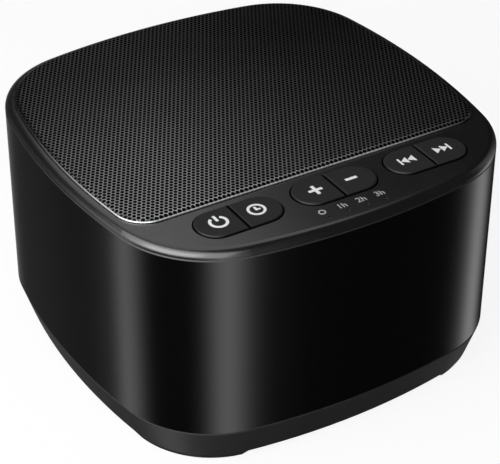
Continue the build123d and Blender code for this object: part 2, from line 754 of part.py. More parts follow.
with BuildPart() as dust_cap:
    # The dome stands where the cone is just wider than its rim
    cone_slope = (cone_depth - 2 * cone_sheet) / (surround_land - neck_radius)
    cap_bottom = neck_bottom + 2 * cone_sheet + cone_slope * (cap_radius - neck_radius) + fit_gap
    with BuildSketch(speaker_plane):
        with BuildLine():
            ThreePointArc((-cap_radius, cap_bottom), (0, cap_bottom + cap_height), (cap_radius, cap_bottom))
            Line((cap_radius, cap_bottom), (cap_radius - cone_sheet, cap_bottom))
            ThreePointArc(
                (cap_radius - cone_sheet, cap_bottom),
                (0, cap_bottom + cap_height - cone_sheet),
                (cone_sheet - cap_radius, cap_bottom),
            )
            Line((cone_sheet - cap_radius, cap_bottom), (-cap_radius, cap_bottom))
        make_face()
        with Locations((0, cap_bottom)):
            Rectangle(case_width, case_width, align=(Align.MIN, Align.CENTER), mode=Mode.INTERSECT)
    revolve(axis=speaker_axis)
save(dust_cap, "dust_cap")

with BuildPart() as voice_coil:
    coil_middle = plate_top - top_plate_thickness / 2
    coil_bottom = coil_middle - coil_height / 2
    speaker_ring(former_inner, former_outer, coil_bottom, cap_bottom - fit_gap)
    speaker_ring(former_outer, coil_outer, coil_bottom, coil_bottom + coil_height)
save(voice_coil, "voice_coil")

with BuildPart() as speaker_surround:
    roll_radius = (roll_outer - roll_inner) / 2
    roll_middle = (roll_outer + roll_inner) / 2
    land_top = flange_top + surround_sheet
    with BuildSketch(speaker_plane):
        with BuildLine():
            Polyline(
                (roll_outer, land_top),
                (surround_outer, land_top),
                (surround_outer, flange_top),
                (roll_outer - surround_sheet, flange_top),
                (roll_outer - surround_sheet, land_top),
            )
            ThreePointArc(
                (roll_outer - surround_sheet, land_top),
                (roll_middle, land_top + roll_radius - surround_sheet),
                (roll_inner + surround_sheet, land_top),
            )
            Polyline(
                (roll_inner + surround_sheet, land_top),
                (roll_inner + surround_sheet, flange_top),
                (surround_land, flange_top),
                (surround_land, land_top),
                (roll_inner, land_top),
            )
            ThreePointArc(
                (roll_inner, land_top), (roll_middle, land_top + roll_radius), (roll_outer, land_top)
            )
        make_face()
    revolve(axis=speaker_axis)
save(speaker_surround, "speaker_surround")

with BuildPart() as speaker_spider:
    # Flat rims on the coil and on the ledge, with pressed rings between them
    rim_inner = former_outer + screw_gap
    wave_step = (ledge_inner - rim_inner) / spider_steps
    wave = [(rim_inner + i * wave_step, ledge + spider_wave * (i % 2)) for i in range(spider_steps)]
    lower_line = wave + [(ledge_inner, ledge), (ledge_outer - fit_gap, ledge)]
    upper_line = [(radius, z + spider_sheet) for radius, z in reversed(lower_line)]
    with BuildSketch(speaker_plane):
        with BuildLine():
            Polyline(*lower_line, *upper_line, close=True)
        make_face()
    revolve(axis=speaker_axis)
save(speaker_spider, "speaker_spider")

# ------------------------------------------------------------------------- main board
with BuildPart() as main_board:
    with BuildSketch(Plane.XY.offset(main_board_lift)):
        add(case_outline(main_board_inset))
        with Locations((0, -main_board_front)):
            Rectangle(
                2 * main_board_half_width, case_width, align=(Align.CENTER, Align.MIN), mode=Mode.INTERSECT
            )
        with Locations(*board_screw_points):
            Circle(board_screw_radius + fit_gap, mode=Mode.SUBTRACT)
    extrude(amount=board_thickness)
save(main_board, "main_board")

with BuildPart() as main_board_screws:
    # Driven downwards from above, so their heads rest on top of the board
    columns(board_screw_points, board_screw_radius * head_scale, main_board_top, main_board_top + head_height)
    columns(board_screw_points, board_screw_radius, main_board_top - board_screw_length, main_board_top)
    screw_top = main_board_top + head_height
    for length_x, length_y in ((2 * board_screw_radius, recess_width), (recess_width, 2 * board_screw_radius)):
        blocks(
            board_screw_points, length_x, length_y, screw_top - recess_depth, screw_top, mode=Mode.SUBTRACT
        )
save(main_board_screws, "main_board_screws")

for name, (place, length, width, height) in CHIPS.items():
    with BuildPart() as chip:
        blocks([place], length, width, main_board_top, main_board_top + height)
    save(chip, name)

with BuildPart() as capacitors:
    columns(capacitor_points, capacitor_radius, main_board_top, main_board_top + capacitor_height)
save(capacitors, "capacitors")

with BuildPart() as speaker_header:
    header_place = [(terminal_reach + speaker_header_offset, speaker_y)]
    speaker_header_top = main_board_top + speaker_header_height
    blocks(header_place, speaker_header_length, speaker_header_width, main_board_top, speaker_header_top)
save(speaker_header, "speaker_header")

with BuildPart() as main_board_header:
    header_top = main_board_top + main_header_height
    header_middle = [(0, main_header_depth / 2 - main_board_front)]
    blocks(header_middle, header_width, main_header_depth, main_board_top, header_top)
save(main_board_header, "main_board_header")

# ------------------------------------------------------------------------- power socket
with BuildPart() as power_socket:
    with BuildSketch(rear_plane.offset(-plug_recess_depth)):
        RectangleRounded(socket_width, socket_height, 2 * socket_shell)
    extrude(amount=-socket_length)
    with BuildSketch(rear_plane.offset(-plug_recess_depth)):
        RectangleRounded(socket_width - 2 * socket_shell, socket_height - 2 * socket_shell, socket_shell)
    extrude(amount=socket_shell - socket_length, mode=Mode.SUBTRACT)
save(power_socket, "power_socket")

with BuildPart() as socket_tongue:
    with BuildSketch(rear_plane.offset(socket_shell - plug_recess_depth - socket_length)):
        Rectangle(socket_width - 3 * socket_shell, socket_height - 3 * socket_shell)
    extrude(amount=socket_length / 4)
    with BuildSketch(rear_plane.offset(socket_shell - plug_recess_depth - socket_length)):
        Rectangle(tongue_blade_width, tongue_blade_thickness)
    extrude(amount=socket_length - 3 * socket_shell)
save(socket_tongue, "socket_tongue")

# ------------------------------------------------------------------------- leads
ROUTES = {"speaker_lead_red": 1, "speaker_lead_black": -1}
for name, side in ROUTES.items():
    lead_y = speaker_y + side * lead_pitch / 2
    route = [
        (terminal_reach - lead_bow, lead_y, terminal_top - terminal_thickness - lead_gap),
        (terminal_reach + lead_bow, lead_y, plate_bottom),
        (terminal_reach + 2 * lead_bow, lead_y, (plate_bottom + speaker_header_top) / 2),
        (header_place[0][0], lead_y, speaker_header_top + lead_gap),
    ]
    with BuildPart() as speaker_lead:
        with BuildLine() as lead_path:
            FilletPolyline(*route, radius=bend_radii(route))
        with BuildSketch(Plane(origin=route[0], z_dir=lead_path.line % 0)):
            Circle(lead_radius)
        sweep()
    save(speaker_lead, name)

ribbon_top = (-key_row, key_header_bottom - lead_gap)
ribbon_end = (-main_board_front - lead_gap, main_board_top + main_header_height / 2)
ribbon_across = ribbon_end[0] - ribbon_top[0]
ribbon_drop = ribbon_top[1] - ribbon_end[1]
ribbon_bends = [
    (ribbon_top[0] + across * ribbon_across, ribbon_end[1] + drop * ribbon_drop)
    for across, drop in RIBBON_BENDS
]
ribbon_route = [ribbon_top, *ribbon_bends, ribbon_end]
with BuildPart() as ribbon_cable:
    with BuildSketch(Plane.YZ):
        with BuildLine():
            FilletPolyline(*ribbon_route, radius=bend_radii(ribbon_route))
        trace(line_width=ribbon_thickness)
    extrude(amount=ribbon_width / 2, both=True)
save(ribbon_cable, "ribbon_cable")

# ------------------------------------------------------------------------- case screws
with BuildPart() as base_screws:
    screws(base_screw_points, base_screw_radius, base_screw_seat, base_screw_length, head_height)
save(base_screws, "base_screws")

with BuildPart() as cover_screws:
    lug_bottom = lug_top - lug_thickness
    screws(cover_screw_points, cover_screw_radius, lug_bottom, cover_screw_length, head_height)
save(cover_screws, "cover_screws")
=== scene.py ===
import json
from math import atan2, cos, pi, radians, sin, sqrt

import bpy
import numpy as np
from bpy.props import FloatProperty, FloatVectorProperty, PointerProperty
from bpy.types import Operator, Panel, PropertyGroup
from mathutils import Matrix, Vector

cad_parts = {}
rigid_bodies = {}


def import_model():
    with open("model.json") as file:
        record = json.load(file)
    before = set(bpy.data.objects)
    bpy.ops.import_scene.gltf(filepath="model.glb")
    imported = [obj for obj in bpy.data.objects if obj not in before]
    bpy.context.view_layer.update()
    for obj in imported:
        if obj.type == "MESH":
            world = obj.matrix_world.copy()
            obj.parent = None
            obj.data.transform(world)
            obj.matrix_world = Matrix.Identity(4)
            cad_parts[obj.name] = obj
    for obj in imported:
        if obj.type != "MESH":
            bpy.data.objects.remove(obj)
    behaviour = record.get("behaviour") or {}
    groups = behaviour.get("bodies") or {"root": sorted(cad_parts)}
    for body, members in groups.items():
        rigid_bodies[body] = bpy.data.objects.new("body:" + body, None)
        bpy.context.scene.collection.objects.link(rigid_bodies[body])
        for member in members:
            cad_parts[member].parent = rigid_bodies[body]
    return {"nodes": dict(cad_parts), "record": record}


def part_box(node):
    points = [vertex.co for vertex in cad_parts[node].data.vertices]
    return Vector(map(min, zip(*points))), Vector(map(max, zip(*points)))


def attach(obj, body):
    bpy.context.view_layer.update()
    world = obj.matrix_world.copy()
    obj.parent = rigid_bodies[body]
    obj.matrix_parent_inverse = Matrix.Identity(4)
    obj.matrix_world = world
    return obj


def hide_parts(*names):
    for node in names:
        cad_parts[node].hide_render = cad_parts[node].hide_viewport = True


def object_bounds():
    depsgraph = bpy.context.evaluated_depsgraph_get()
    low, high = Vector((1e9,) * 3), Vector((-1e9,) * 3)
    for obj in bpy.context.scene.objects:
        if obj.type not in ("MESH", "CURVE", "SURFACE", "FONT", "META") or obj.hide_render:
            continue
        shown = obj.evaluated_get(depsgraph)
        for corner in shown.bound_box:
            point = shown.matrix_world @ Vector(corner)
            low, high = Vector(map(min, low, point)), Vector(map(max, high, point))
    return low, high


bl_info = {
    "name": "Sound machine looks",
    "version": (1, 0, 0),
    "blender": (4, 5, 0),
    "location": "3D View > Sidebar > Sound Machine",
    "description": "Finishes, perforated grille and printed marks of a white noise sound machine",
    "category": "Object",
}

MM = 0.001

for leftover in list(bpy.data.objects):
    bpy.data.objects.remove(leftover)
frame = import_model()
CAD_BOX = [list(corner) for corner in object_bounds()]
NODES = frame["nodes"]
SLOT_OF = {part["node"]: part["material_slot"] for part in frame["record"]["subparts"]}
GRILLE_LOW, GRILLE_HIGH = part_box("grille")
GRILLE_MIDDLE = (GRILLE_LOW + GRILLE_HIGH) / 2
WALL_LOW, WALL_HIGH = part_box("housing_wall")
KEY_LOW, KEY_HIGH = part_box("key_power")
KEY_ROW = (KEY_LOW.y + KEY_HIGH.y) / 2
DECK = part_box("top_cover")[1].z

SEAM_EDGE = 0.22 * MM  # height of the broken edges along the wall's seams
SIDE_FACETS, CORNER_FACETS = 13, 18  # of the wall's mesh, along a side and round a corner
POCKET_END = 0.4 * MM  # the key pockets' walls carry painted shade as far as this beyond the first key
POCKET_SIDE = 5.6 * MM  # and as far as this from the middle of the row of keys
PATH_STEP = 0.8 * MM  # between the points along the grille's edge
BORDER_SHARE = 0.1  # of a pitch, by which the middle of a hole may lie in the plain border
SHEET_GAP = 0.02 * MM  # the new sheet keeps this far inside the grille that it stands for
SKIRT_INSET = 0.1 * MM  # of the skirt behind the grille's outline, and of its upper corner below the sheet
BEAD_OUT, BEAD_DOWN = 0.05 * MM, 0.2 * MM  # of the bead's middle from the edge of the sheet
DIGIT_SHARE = 0.7  # the height of a digit over the letters' size
LETTER_WEIGHT = 0.01 * MM  # the letters are drawn bolder by this


# -------- settings
def length(name, default, description):
    """A size in metres that the sidebar shows as a length."""
    return FloatProperty(
        name=name, description=description, default=default, precision=5, subtype="DISTANCE", unit="LENGTH"
    )


def angle(name, degrees, description):
    """An angle that is given in degrees."""
    return FloatProperty(name=name, description=description, default=radians(degrees), subtype="ANGLE")


def colour(name, default, description):
    """A linear colour."""
    return FloatVectorProperty(
        name=name, description=description, default=default, size=3, min=0.0, max=1.0, subtype="COLOR"
    )


class SoundMachineSizes(PropertyGroup):
    """Sizes of the pieces that are shaped here."""

    half_width: length("Half width", CAD_BOX[1][0], "Half of the case across the middle of its sides")
    side_bulge: length("Side bulge", 6.2 * MM, "How far the middle of a side stands out from its ends")
    corner_radius: length("Corner radius", 25 * MM, "Radius of the case's corners seen from above")
    corner_ease: length("Corner ease", 8 * MM, "To either side of where a side's bend eases into a corner's")
    grille_margin: length("Grille margin", 2.3 * MM, "From the rim of the case to the grille")
    grille_corner: length("Grille corner", 7.5 * MM, "Radius of the grille's two front corners")
    sheet: length("Sheet", 0.5 * MM, "Thickness of the grille's steel sheet")
    bead: length("Edge bead", 0.2 * MM, "Radius of the bead along the grille's edge")
    fall: length("Edge fall", 0.45 * MM, "How far the sheet curves down to its bead")
    curl: length("Edge curl", 1.3 * MM, "Width over which the sheet curves down")
    border: length("Plain border", 0.62 * MM, "Width of the grille's border without holes")
    hole_pitch: length("Hole pitch", 1.12 * MM, "Between the middles of neighbouring holes")
    hole_radius: length("Hole radius", 0.43 * MM, "Radius of a hole in the sheet")
    hole_break: length("Hole edge", 0.04 * MM, "Rounding of a hole's upper edge")
    print_rise: length("Print thickness", 0.03 * MM, "Thickness of the printed marks")
    label_height: length("Label height", 1.75 * MM, "Height of the hour labels' digits")


class SoundMachineColours(PropertyGroup):
    """Colours of the finishes, linear."""

    gloss_black: colour("Gloss black", (0.001, 0.001, 0.0011), "Polished plastic of the housing wall")
    satin_black: colour("Satin black", (0.0055, 0.0055, 0.0058), "Moulded plastic of the deck")
    key_black: colour("Key black", (0.0095, 0.0095, 0.0098), "Matte plastic of the keys")
    base_black: colour("Base black", (0.014, 0.014, 0.0143), "Matte plastic of the base pan")
    # painted light: the grille's steel is lighter towards the front and darker towards the rear
    grille_grey: colour("Grille grey", (0.45, 0.45, 0.455), "Steel of the grille, where its coat is worn")
    # painted highlight: the bead is this light steel towards the front and the left, and black elsewhere
    bead_highlight_colour: colour("Edge steel", (0.95, 0.95, 0.95), "Bare steel along the grille's edge")
    print_white: colour("Print white", (0.74, 0.74, 0.75), "Ink of the marks on the keys")
    print_grey: colour("Print grey", (0.36, 0.36, 0.37), "Ink of the marks on the deck")


class SoundMachineStage(PropertyGroup):
    """The camera, the world and the flags."""

    azimuth: angle("Azimuth", -31.2107, "Of the camera round the machine")
    elevation: angle("Elevation", 33.7506, "Of the camera above the table")
    roll: angle("Roll", 0.3061, "Of the camera")
    distance: length("Distance", 0.44418, "From the camera to the middle of the machine")
    target_height: length("Target height", 0.030054, "Of the point that the camera turns round")
    lens: FloatProperty(name="Lens", description="Focal length", default=130.689, unit="CAMERA")
    shift_x: FloatProperty(name="Shift X", description="Of the lens", default=0.00713)
    shift_y: FloatProperty(name="Shift Y", description="Of the lens", default=-0.02783)
    ambient: FloatProperty(name="Ambient", description="Even light from all around", default=0.06)
    flag_radius: length("Flag radius", 2.0, "Of the sphere of flags around the machine")


class SoundMachineSettings(PropertyGroup):
    """Everything that a user would change."""

    sizes: PointerProperty(type=SoundMachineSizes)
    colours: PointerProperty(type=SoundMachineColours)
    stage: PointerProperty(type=SoundMachineStage)


# -------- mesh helpers
def mesh_from(name, points, faces):
    """A mesh from an array of points and a list of arrays of faces, each array's faces alike in corners."""
    mesh = bpy.data.meshes.new(name)
    mesh.vertices.add(len(points))
    mesh.vertices.foreach_set("co", np.asarray(points, np.float32).ravel())
    counts = np.concatenate([np.full(len(group), group.shape[1]) for group in faces])
    loops = np.concatenate([group.ravel() for group in faces])
    mesh.loops.add(len(loops))
    mesh.loops.foreach_set("vertex_index", loops.astype(np.int32))
    mesh.polygons.add(len(counts))
    starts = np.concatenate([[0], np.cumsum(counts)[:-1]])
    mesh.polygons.foreach_set("loop_start", starts.astype(np.int32))
    mesh.update(calc_edges=True)
    mesh.validate()
    return mesh


def add_object(data):
    """A new object at the origin with a mesh or other data, and the data's name, linked to the scene."""
    piece = bpy.data.objects.new(data.name, data)
    bpy.context.scene.collection.objects.link(piece)
    return piece


def add_shaded(mesh, smooth):
    """A new object whose faces are all shaded smooth, or all flat."""
    mesh.polygons.foreach_set("use_smooth", np.full(len(mesh.polygons), smooth))
    mesh.update()
    return add_object(mesh)


def grid_faces(rows, columns, close_rows=False, close_columns=False):
    """Four-cornered faces of a grid of points whose rows, columns or both may close on themselves."""
    row = np.arange(rows if close_rows else rows - 1)
    column = np.arange(columns if close_columns else columns - 1)
    i, j = np.meshgrid(row, column, indexing="ij")
    after_i, after_j = (i + 1) % rows, (j + 1) % columns
    corners = (i * columns + j, after_i * columns + j, after_i * columns + after_j, i * columns + after_j)
    return np.stack([corner.ravel() for corner in corners], axis=1)


def weld(points, tolerance=1e-7):
    """The points without doubles, and for each old point the number of the one that stands for it."""
    keys = np.round(points / tolerance).astype(np.int64)
    _, first, number = np.unique(keys, axis=0, return_index=True, return_inverse=True)
    return points[first], number.ravel()


def rays_of(turn):
    """Directions at each turn from the first axis: cosine and sine."""
    return np.stack([np.cos(turn), np.sin(turn)], axis=-1)


# -------- outlines
def normal_of(turn):
    """The direction in plan that a turn stands for: 0 faces the front, -Y, and a quarter turn faces +X."""
    return np.stack([np.sin(turn), -np.cos(turn)], axis=-1)


def case_arcs(sizes):
    """The radius of the case's sides, the shift of their centres, the reach of the corner centres, and half
    the angle over which a side bends.

    A side is an arc through two points that lie the bulge behind its middle. A corner's circle touches the
    two sides beside it from the inside."""
    chord = sizes.half_width - sizes.side_bulge
    side = (chord**2 + sizes.side_bulge**2) / (2 * sizes.side_bulge)
    shift = side - sizes.half_width
    corner = (sqrt(2 * (side - sizes.corner_radius) ** 2 - shift**2) - shift) / 2
    return side, shift, corner, atan2(corner, corner + shift)


def grille_path(sizes, step):
    """The edge of the grille in plan, points and outward normals, from the middle of the front round.

    Each stretch is an arc: its centre plus its radius times the normal, for normals from one turn to the
    next. The front is a straight line between the ends of the two front corners."""
    side, shift, corner, bend = case_arcs(sizes)
    front = -GRILLE_LOW.y
    side_radius = side - sizes.grille_margin
    small = sizes.grille_corner
    small_y = small - front
    small_x = sqrt((side_radius - small) ** 2 - small_y**2) - shift
    turn = pi - atan2(small_x + shift, small_y)
    reach = sizes.corner_radius - sizes.grille_margin
    quarter = pi / 2
    arcs = [
        ((small_x, small_y), small, 0, turn),
        ((-shift, 0), side_radius, turn, quarter + bend),
        ((corner, corner), reach, quarter + bend, pi - bend),
        ((0, -shift), side_radius, pi - bend, pi + bend),
        ((-corner, corner), reach, pi + bend, 3 * quarter - bend),
        ((shift, 0), side_radius, 3 * quarter - bend, 2 * pi - turn),
        ((-small_x, small_y), small, 2 * pi - turn, 2 * pi),
    ]
    points, normals = [], []
    for centre, radius, start, end in arcs:
        count = max(int(radius * abs(end - start) / step), 8)
        turns = np.linspace(start, end, count, endpoint=False)
        normals.append(normal_of(turns))
        points.append(np.array(centre) + radius * normals[-1])
    count = int(2 * small_x / step)
    line = np.linspace(-small_x, small_x, count, endpoint=False)
    points.append(np.stack([line, np.full(count, -front)], axis=1))
    normals.append(np.tile([0.0, -1.0], (count, 1)))
    return np.concatenate(points), np.concatenate(normals)


def nearest_inset(points, path, normals):
    """How far each point lies inside a path: its offset from the path's nearest point, against the normal.

    The points are taken about 4,000 at a time, which saves memory."""
    found = []
    for some in np.array_split(points, len(points) // 4000 + 1):
        gap = some[:, None, :] - path[None, :, :]
        nearest = np.argmin((gap**2).sum(2), axis=1)
        found.append(-(gap[np.arange(len(some)), nearest] * normals[nearest]).sum(1))
    return np.concatenate(found)


def swept_profile(name, path, normals, profile):
    """A closed profile of insets and heights carried round a closed path.

    Each point is the path's point less the inset times the path's normal, at the profile's height."""
    inset, height = profile[:, 0], profile[:, 1]
    plan = path[:, None, :] - inset[None, :, None] * normals[:, None, :]
    level = np.broadcast_to(height[None, :, None], plan.shape[:2] + (1,))
    points = np.concatenate([plan, level], axis=2).reshape(-1, 3)
    faces = grid_faces(len(path), len(profile), close_rows=True, close_columns=True)
    return mesh_from(name, points, [faces])


# -------- shader helpers
class Value:
    """A node's output that takes part in Python arithmetic: each operator adds one Math node."""

    def __init__(self, finish, socket):
        self.finish = finish
        self.socket = socket

    def maths(self, operation, first, second=0.0):
        return self.finish.node("ShaderNodeMath", {"operation": operation}, {0: first, 1: second})

    def __add__(self, other):
        return self.maths("ADD", self, other)

    def __radd__(self, other):
        return self.maths("ADD", other, self)

    def __sub__(self, other):
        return self.maths("SUBTRACT", self, other)

    def __rsub__(self, other):
        return self.maths("SUBTRACT", other, self)

    def __mul__(self, other):
        return self.maths("MULTIPLY", self, other)

    def __rmul__(self, other):
        return self.maths("MULTIPLY", other, self)

    def __truediv__(self, other):
        return self.maths("DIVIDE", self, other)

    def __rtruediv__(self, other):
        return self.maths("DIVIDE", other, self)

    def least(self, other):
        return self.maths("MINIMUM", self, other)

    def most(self, other):
        return self.maths("MAXIMUM", self, other)

    def above(self, limit):
        """1 where the value is greater than a limit, 0 elsewhere."""
        return self.maths("GREATER_THAN", self, limit)

    def size(self):
        return self.maths("ABSOLUTE", self)

    def sine(self):
        return self.maths("SINE", self)

    def to_whole(self):
        """How far a number lies from the nearest whole number."""
        return self.maths("PINGPONG", self, 0.5)

    def clamped(self, low, high):
        return self.finish.node("ShaderNodeClamp", {}, {0: self, 1: low, 2: high})


class Finish:
    """A material, or the world, that is built up node by node."""

    def __init__(self, name, owner=None, output="ShaderNodeOutputMaterial"):
        self.owner = owner or bpy.data.materials.new(name)
        self.owner.use_nodes = True
        self.tree = self.owner.node_tree
        self.tree.nodes.clear()
        self.output = self.tree.nodes.new(output)

    def node(self, kind, settings=None, inputs=None, output=0):
        """A node of a type, with its settings made first, then its inputs given values or links."""
        made = self.tree.nodes.new(kind)
        for name, value in (settings or {}).items():
            setattr(made, name, value)
        for name, value in (inputs or {}).items():
            if isinstance(value, Value):
                self.tree.links.new(value.socket, made.inputs[name])
            else:
                made.inputs[name].default_value = value
        return Value(self, made.outputs[output])

    def vector_maths(self, operation, first, second=(0, 0, 0), output="Vector"):
        """A sum, product or length of vectors."""
        return self.node("ShaderNodeVectorMath", {"operation": operation}, {0: first, 1: second}, output)

    def place(self):
        """Object coordinates, which are metres in the machine's own frame."""
        return self.node("ShaderNodeTexCoord", output="Object")

    def noise(self, scale, detail):
        """Cloudy noise around one half; scale is features to a metre."""
        inputs = {"Vector": self.place(), "Scale": scale, "Detail": detail}
        return self.node("ShaderNodeTexNoise", {}, inputs)

    def axis(self, name):
        """One object coordinate."""
        return self.node("ShaderNodeSeparateXYZ", {}, {0: self.place()}, output=name)

    def span(self, name, middle=0.0):
        """How far one coordinate lies from a middle, to either side."""
        return (self.axis(name) - middle).size()

    def falling(self, name, start, end):
        """1 where a coordinate is below a start, 0 beyond an end, and a straight fall between them."""
        return ((end - self.axis(name)) / (end - start)).clamped(0.0, 1.0)

    def blend(self, factor, first, second):
        """A colour between two colours, each of them three numbers or another blend."""
        first, second = (tone if isinstance(tone, Value) else (*tone, 1) for tone in (first, second))
        return self.node("ShaderNodeMix", {"data_type": "RGBA"}, {0: factor, 6: first, 7: second}, output=2)

    def tones(self, factor, base, first, second):
        """A colour between two shades of a base colour."""
        return self.blend(factor, shade(base, first), shade(base, second))

    def seen(self):
        """At least 1 for the camera's rays and those passed on by shiny or clear pieces, 0 for the others."""
        kinds = ("Is Camera Ray", "Is Glossy Ray", "Is Transmission Ray")
        direct, mirrored, through = (self.node("ShaderNodeLightPath", output=kind) for kind in kinds)
        return direct + mirrored + through

    def mixed(self, share, first, second):
        """A shader between two shaders."""
        return self.node("ShaderNodeMixShader", {}, {0: share, 1: first, 2: second})

    def show(self, shader):
        """Links a shader to the output, and gives back the finished material or world."""
        self.tree.links.new(shader.socket, self.output.inputs["Surface"])
        return self.owner

    def surface(self, tint, roughness, others, height=None, depth=1.0):
        """The finished Principled material. Its normal is bent by a height times a depth in metres."""
        inputs = {"Base Color": tint, "Roughness": roughness, **others}
        if height is not None:
            relief = {"Height": height, "Distance": depth, "Strength": 1.0}
            inputs["Normal"] = self.node("ShaderNodeBump", {}, relief)
        return self.show(self.node("ShaderNodeBsdfPrincipled", {}, inputs))


def shade(base, factor):
    """A colour made darker or lighter."""
    return tuple(min(channel * factor, 1.0) for channel in base)


def varied(middle, noise, spread):
    """A value that noise moves to either side of its middle; spread is between its ends."""
    return middle + (noise - 0.5) * spread


# -------- finishes
def plastic(name, base, roughness, grain, depth, specular=0.5, coat=0.0, patch=None):
    """Moulded plastic: a fine even grain in its normal, with slow changes of colour and roughness.

    A patch is a mask of painted shade, with the factor of the colour and the roughness that it has there."""
    finish = Finish(name)
    cloud = finish.noise(45, 3)
    texture = finish.noise(grain, 3)
    tint = finish.tones(cloud, base, 0.85, 1.15)
    rough = varied(roughness, cloud, 0.08)
    if patch:
        mask_of, factor, other = patch
        mask = mask_of(finish)
        tint = finish.blend(mask, tint, shade(base, factor))
        rough = rough + mask * (other - roughness)
        coat = (1 - mask) * coat
    coating = {"Specular IOR Level": specular, "Coat Weight": coat, "Coat Roughness": 0.22}
    return finish.surface(tint, rough, coating, texture, depth)


def key_side_shade(finish):
    """1 on the sides of the keys, 0 on their tops: where the keys' painted shade lies."""
    return finish.falling("Z", KEY_HIGH.z - 0.3 * MM, KEY_HIGH.z - 0.1 * MM)


def pocket_wall_shade(finish):
    """1 on the walls of the deck's three key pockets, below the deck: where their painted shade lies."""
    across = 1 - finish.span("X").above(POCKET_END - KEY_LOW.x)
    along = 1 - finish.span("Y", KEY_ROW).above(POCKET_SIDE)
    return across * along * (1 - finish.axis("Z").above(DECK - 0.05 * MM))


def pan_rim_shade(finish):
    """1 on the broken upper edge of the base pan: where the painted shade along its seam with the wall lies.
    """
    return finish.axis("Z").above(WALL_LOW.z - SEAM_EDGE)


def eased_corners(finish, sizes):
    """A height in metres that lets the bend of the case's sides ease into that of its corners.

    With the plan folded into one eighth, past is the distance beyond the line where the two arcs meet, and
    t is past over the ease, held between -1 and 1. The height is the change of curvature times the ease
    squared over four, times t|t| - t - t cubed over three, whose slope is greatest at the line and takes
    the jump out of the bend.
    The facets beside that line have the normals of their middles there. Along each of them, a height with
    the slope of half the facet's angle at the line, and none at its other end, turns them to the line's."""
    side, shift, corner, bend = case_arcs(sizes)
    x, y = finish.span("X"), finish.span("Y")
    past = x.least(y) * cos(bend) - x.most(y) * sin(bend) - corner * (cos(bend) - sin(bend))
    t = (past / sizes.corner_ease).clamped(-1.0, 1.0)
    scale = (1 / sizes.corner_radius - 1 / side) * sizes.corner_ease**2 / 4
    side_step, corner_step = 2 * bend / SIDE_FACETS, (pi / 2 - 2 * bend) / CORNER_FACETS
    before = (past / (side * side_step)).clamped(-1.0, 0.0)
    after = (past / (sizes.corner_radius * corner_step)).clamped(0.0, 1.0)
    side_edge = (before + before * before / 2) * (side * side_step**2 / -2)
    corner_edge = (after - after * after / 2) * (sizes.corner_radius * corner_step**2 / 2)
    return (t * t.size() - t - t * t * t / 3) * scale + side_edge + corner_edge


def polished_plastic(name, base, sizes):
    """Polished black plastic: clear reflections with the faintest waviness of a moulded wall.

    The broken edges of its two seams are left matte by the polishing."""
    finish = Finish(name)
    cloud = finish.noise(30, 2)
    wave = finish.noise(160, 1)
    height = finish.axis("Z")
    seams = height.above(WALL_HIGH.z - SEAM_EDGE) + (1 - height.above(WALL_LOW.z + SEAM_EDGE))
    tint = finish.tones(cloud, base, 0.9, 1.1)
    rough = varied(0.15, cloud, 0.03) + seams * 0.35
    relief = wave * 4e-6 + eased_corners(finish, sizes)
    return finish.surface(tint, rough, {"Specular IOR Level": 1.0}, relief)


def coated_steel(name, base, roughness, metallic, grain, depth):
    """Steel with a thin coat, whose grain breaks up its shine."""
    finish = Finish(name)
    cloud = finish.noise(60, 3)
    texture = finish.noise(grain, 2)
    tint = finish.tones(cloud, base, 0.85, 1.15)
    return finish.surface(tint, varied(roughness, texture, 0.12), {"Metallic": metallic}, texture, depth)


def bead_highlight_steel(name, base):
    """A black bead with a painted highlight: light steel towards the front and the left, black at the rear
    and the right.

    The painted highlight is the product of two ramps, one that falls to the rear and one that falls to the
    right."""
    finish = Finish(name)
    texture = finish.noise(4200, 2)
    glint_ramp = finish.falling("Y", -30 * MM, 16 * MM) * finish.falling("X", 20 * MM, 42 * MM)
    # painted highlight: light steel near the front and the left, black elsewhere
    tint = finish.tones(glint_ramp, base, 0.04, 1.0)
    return finish.surface(tint, varied(0.36, texture, 0.12), {"Metallic": 0.8}, texture, 2e-6)


def perforated_steel(name, base, sizes):
    """Grey steel with painted shade in its holes and on their walls, in a pattern that goes on over the
    curved border, where it paints dark holes on the plain sheet.

    Painted light: the steel is lighter towards the front, by the keys, and darker towards the rear.

    The pattern is the distance to the nearest hole's middle, the lesser of those in two grids of oblongs,
    each a pitch wide and two rows long, moved by half an oblong against each other."""
    finish = Finish(name)
    cloud = finish.noise(60, 3)
    grain = finish.noise(5200, 2)
    pitch, row = sizes.hole_pitch / MM, sizes.hole_pitch * sqrt(3) / 2 / MM
    along = (finish.axis("X") - GRILLE_MIDDLE.x) / sizes.hole_pitch
    across = (finish.axis("Y") - GRILLE_MIDDLE.y) / (2 * row * MM)
    x, y = along.to_whole() * pitch, across.to_whole() * (2 * row)
    other_x, other_y = pitch / 2 - x, row - y
    nearest = (x * x + y * y).least(other_x * other_x + other_y * other_y)
    web = nearest.above(((sizes.hole_radius + sizes.hole_break) / MM) ** 2)
    # painted light: a darker steel for the rear and a lighter one for the front
    whole, painted_light = finish.tones(cloud, base, 0.36, 0.49), finish.tones(cloud, base, 0.85, 1.15)
    steel = finish.blend(finish.falling("Y", -30 * MM, 26 * MM), whole, painted_light)
    # painted shade: dark in the holes and on their walls, and dark painted holes on the curved border
    tint = finish.blend(web, shade(base, 0.03), steel)
    return finish.surface(tint, varied(0.3, grain, 0.12), {"Metallic": 1.0})


def woven(name, base, threads):
    """Cloth of crossed threads, so many to a metre: the height is the larger of two sines, of X and of Y."""
    finish = Finish(name)
    across, along = ((finish.axis(axis) * (2 * pi * threads)).sine() for axis in "XY")
    height = across.most(along)
    # painted shade: darker where the threads lie low, between them, and lighter on their crowns
    tint = finish.tones(height * 0.5 + 0.5, base, 0.5, 1.3)
    return finish.surface(tint, 0.9, {"Specular IOR Level": 0.2}, height, 6e-5)


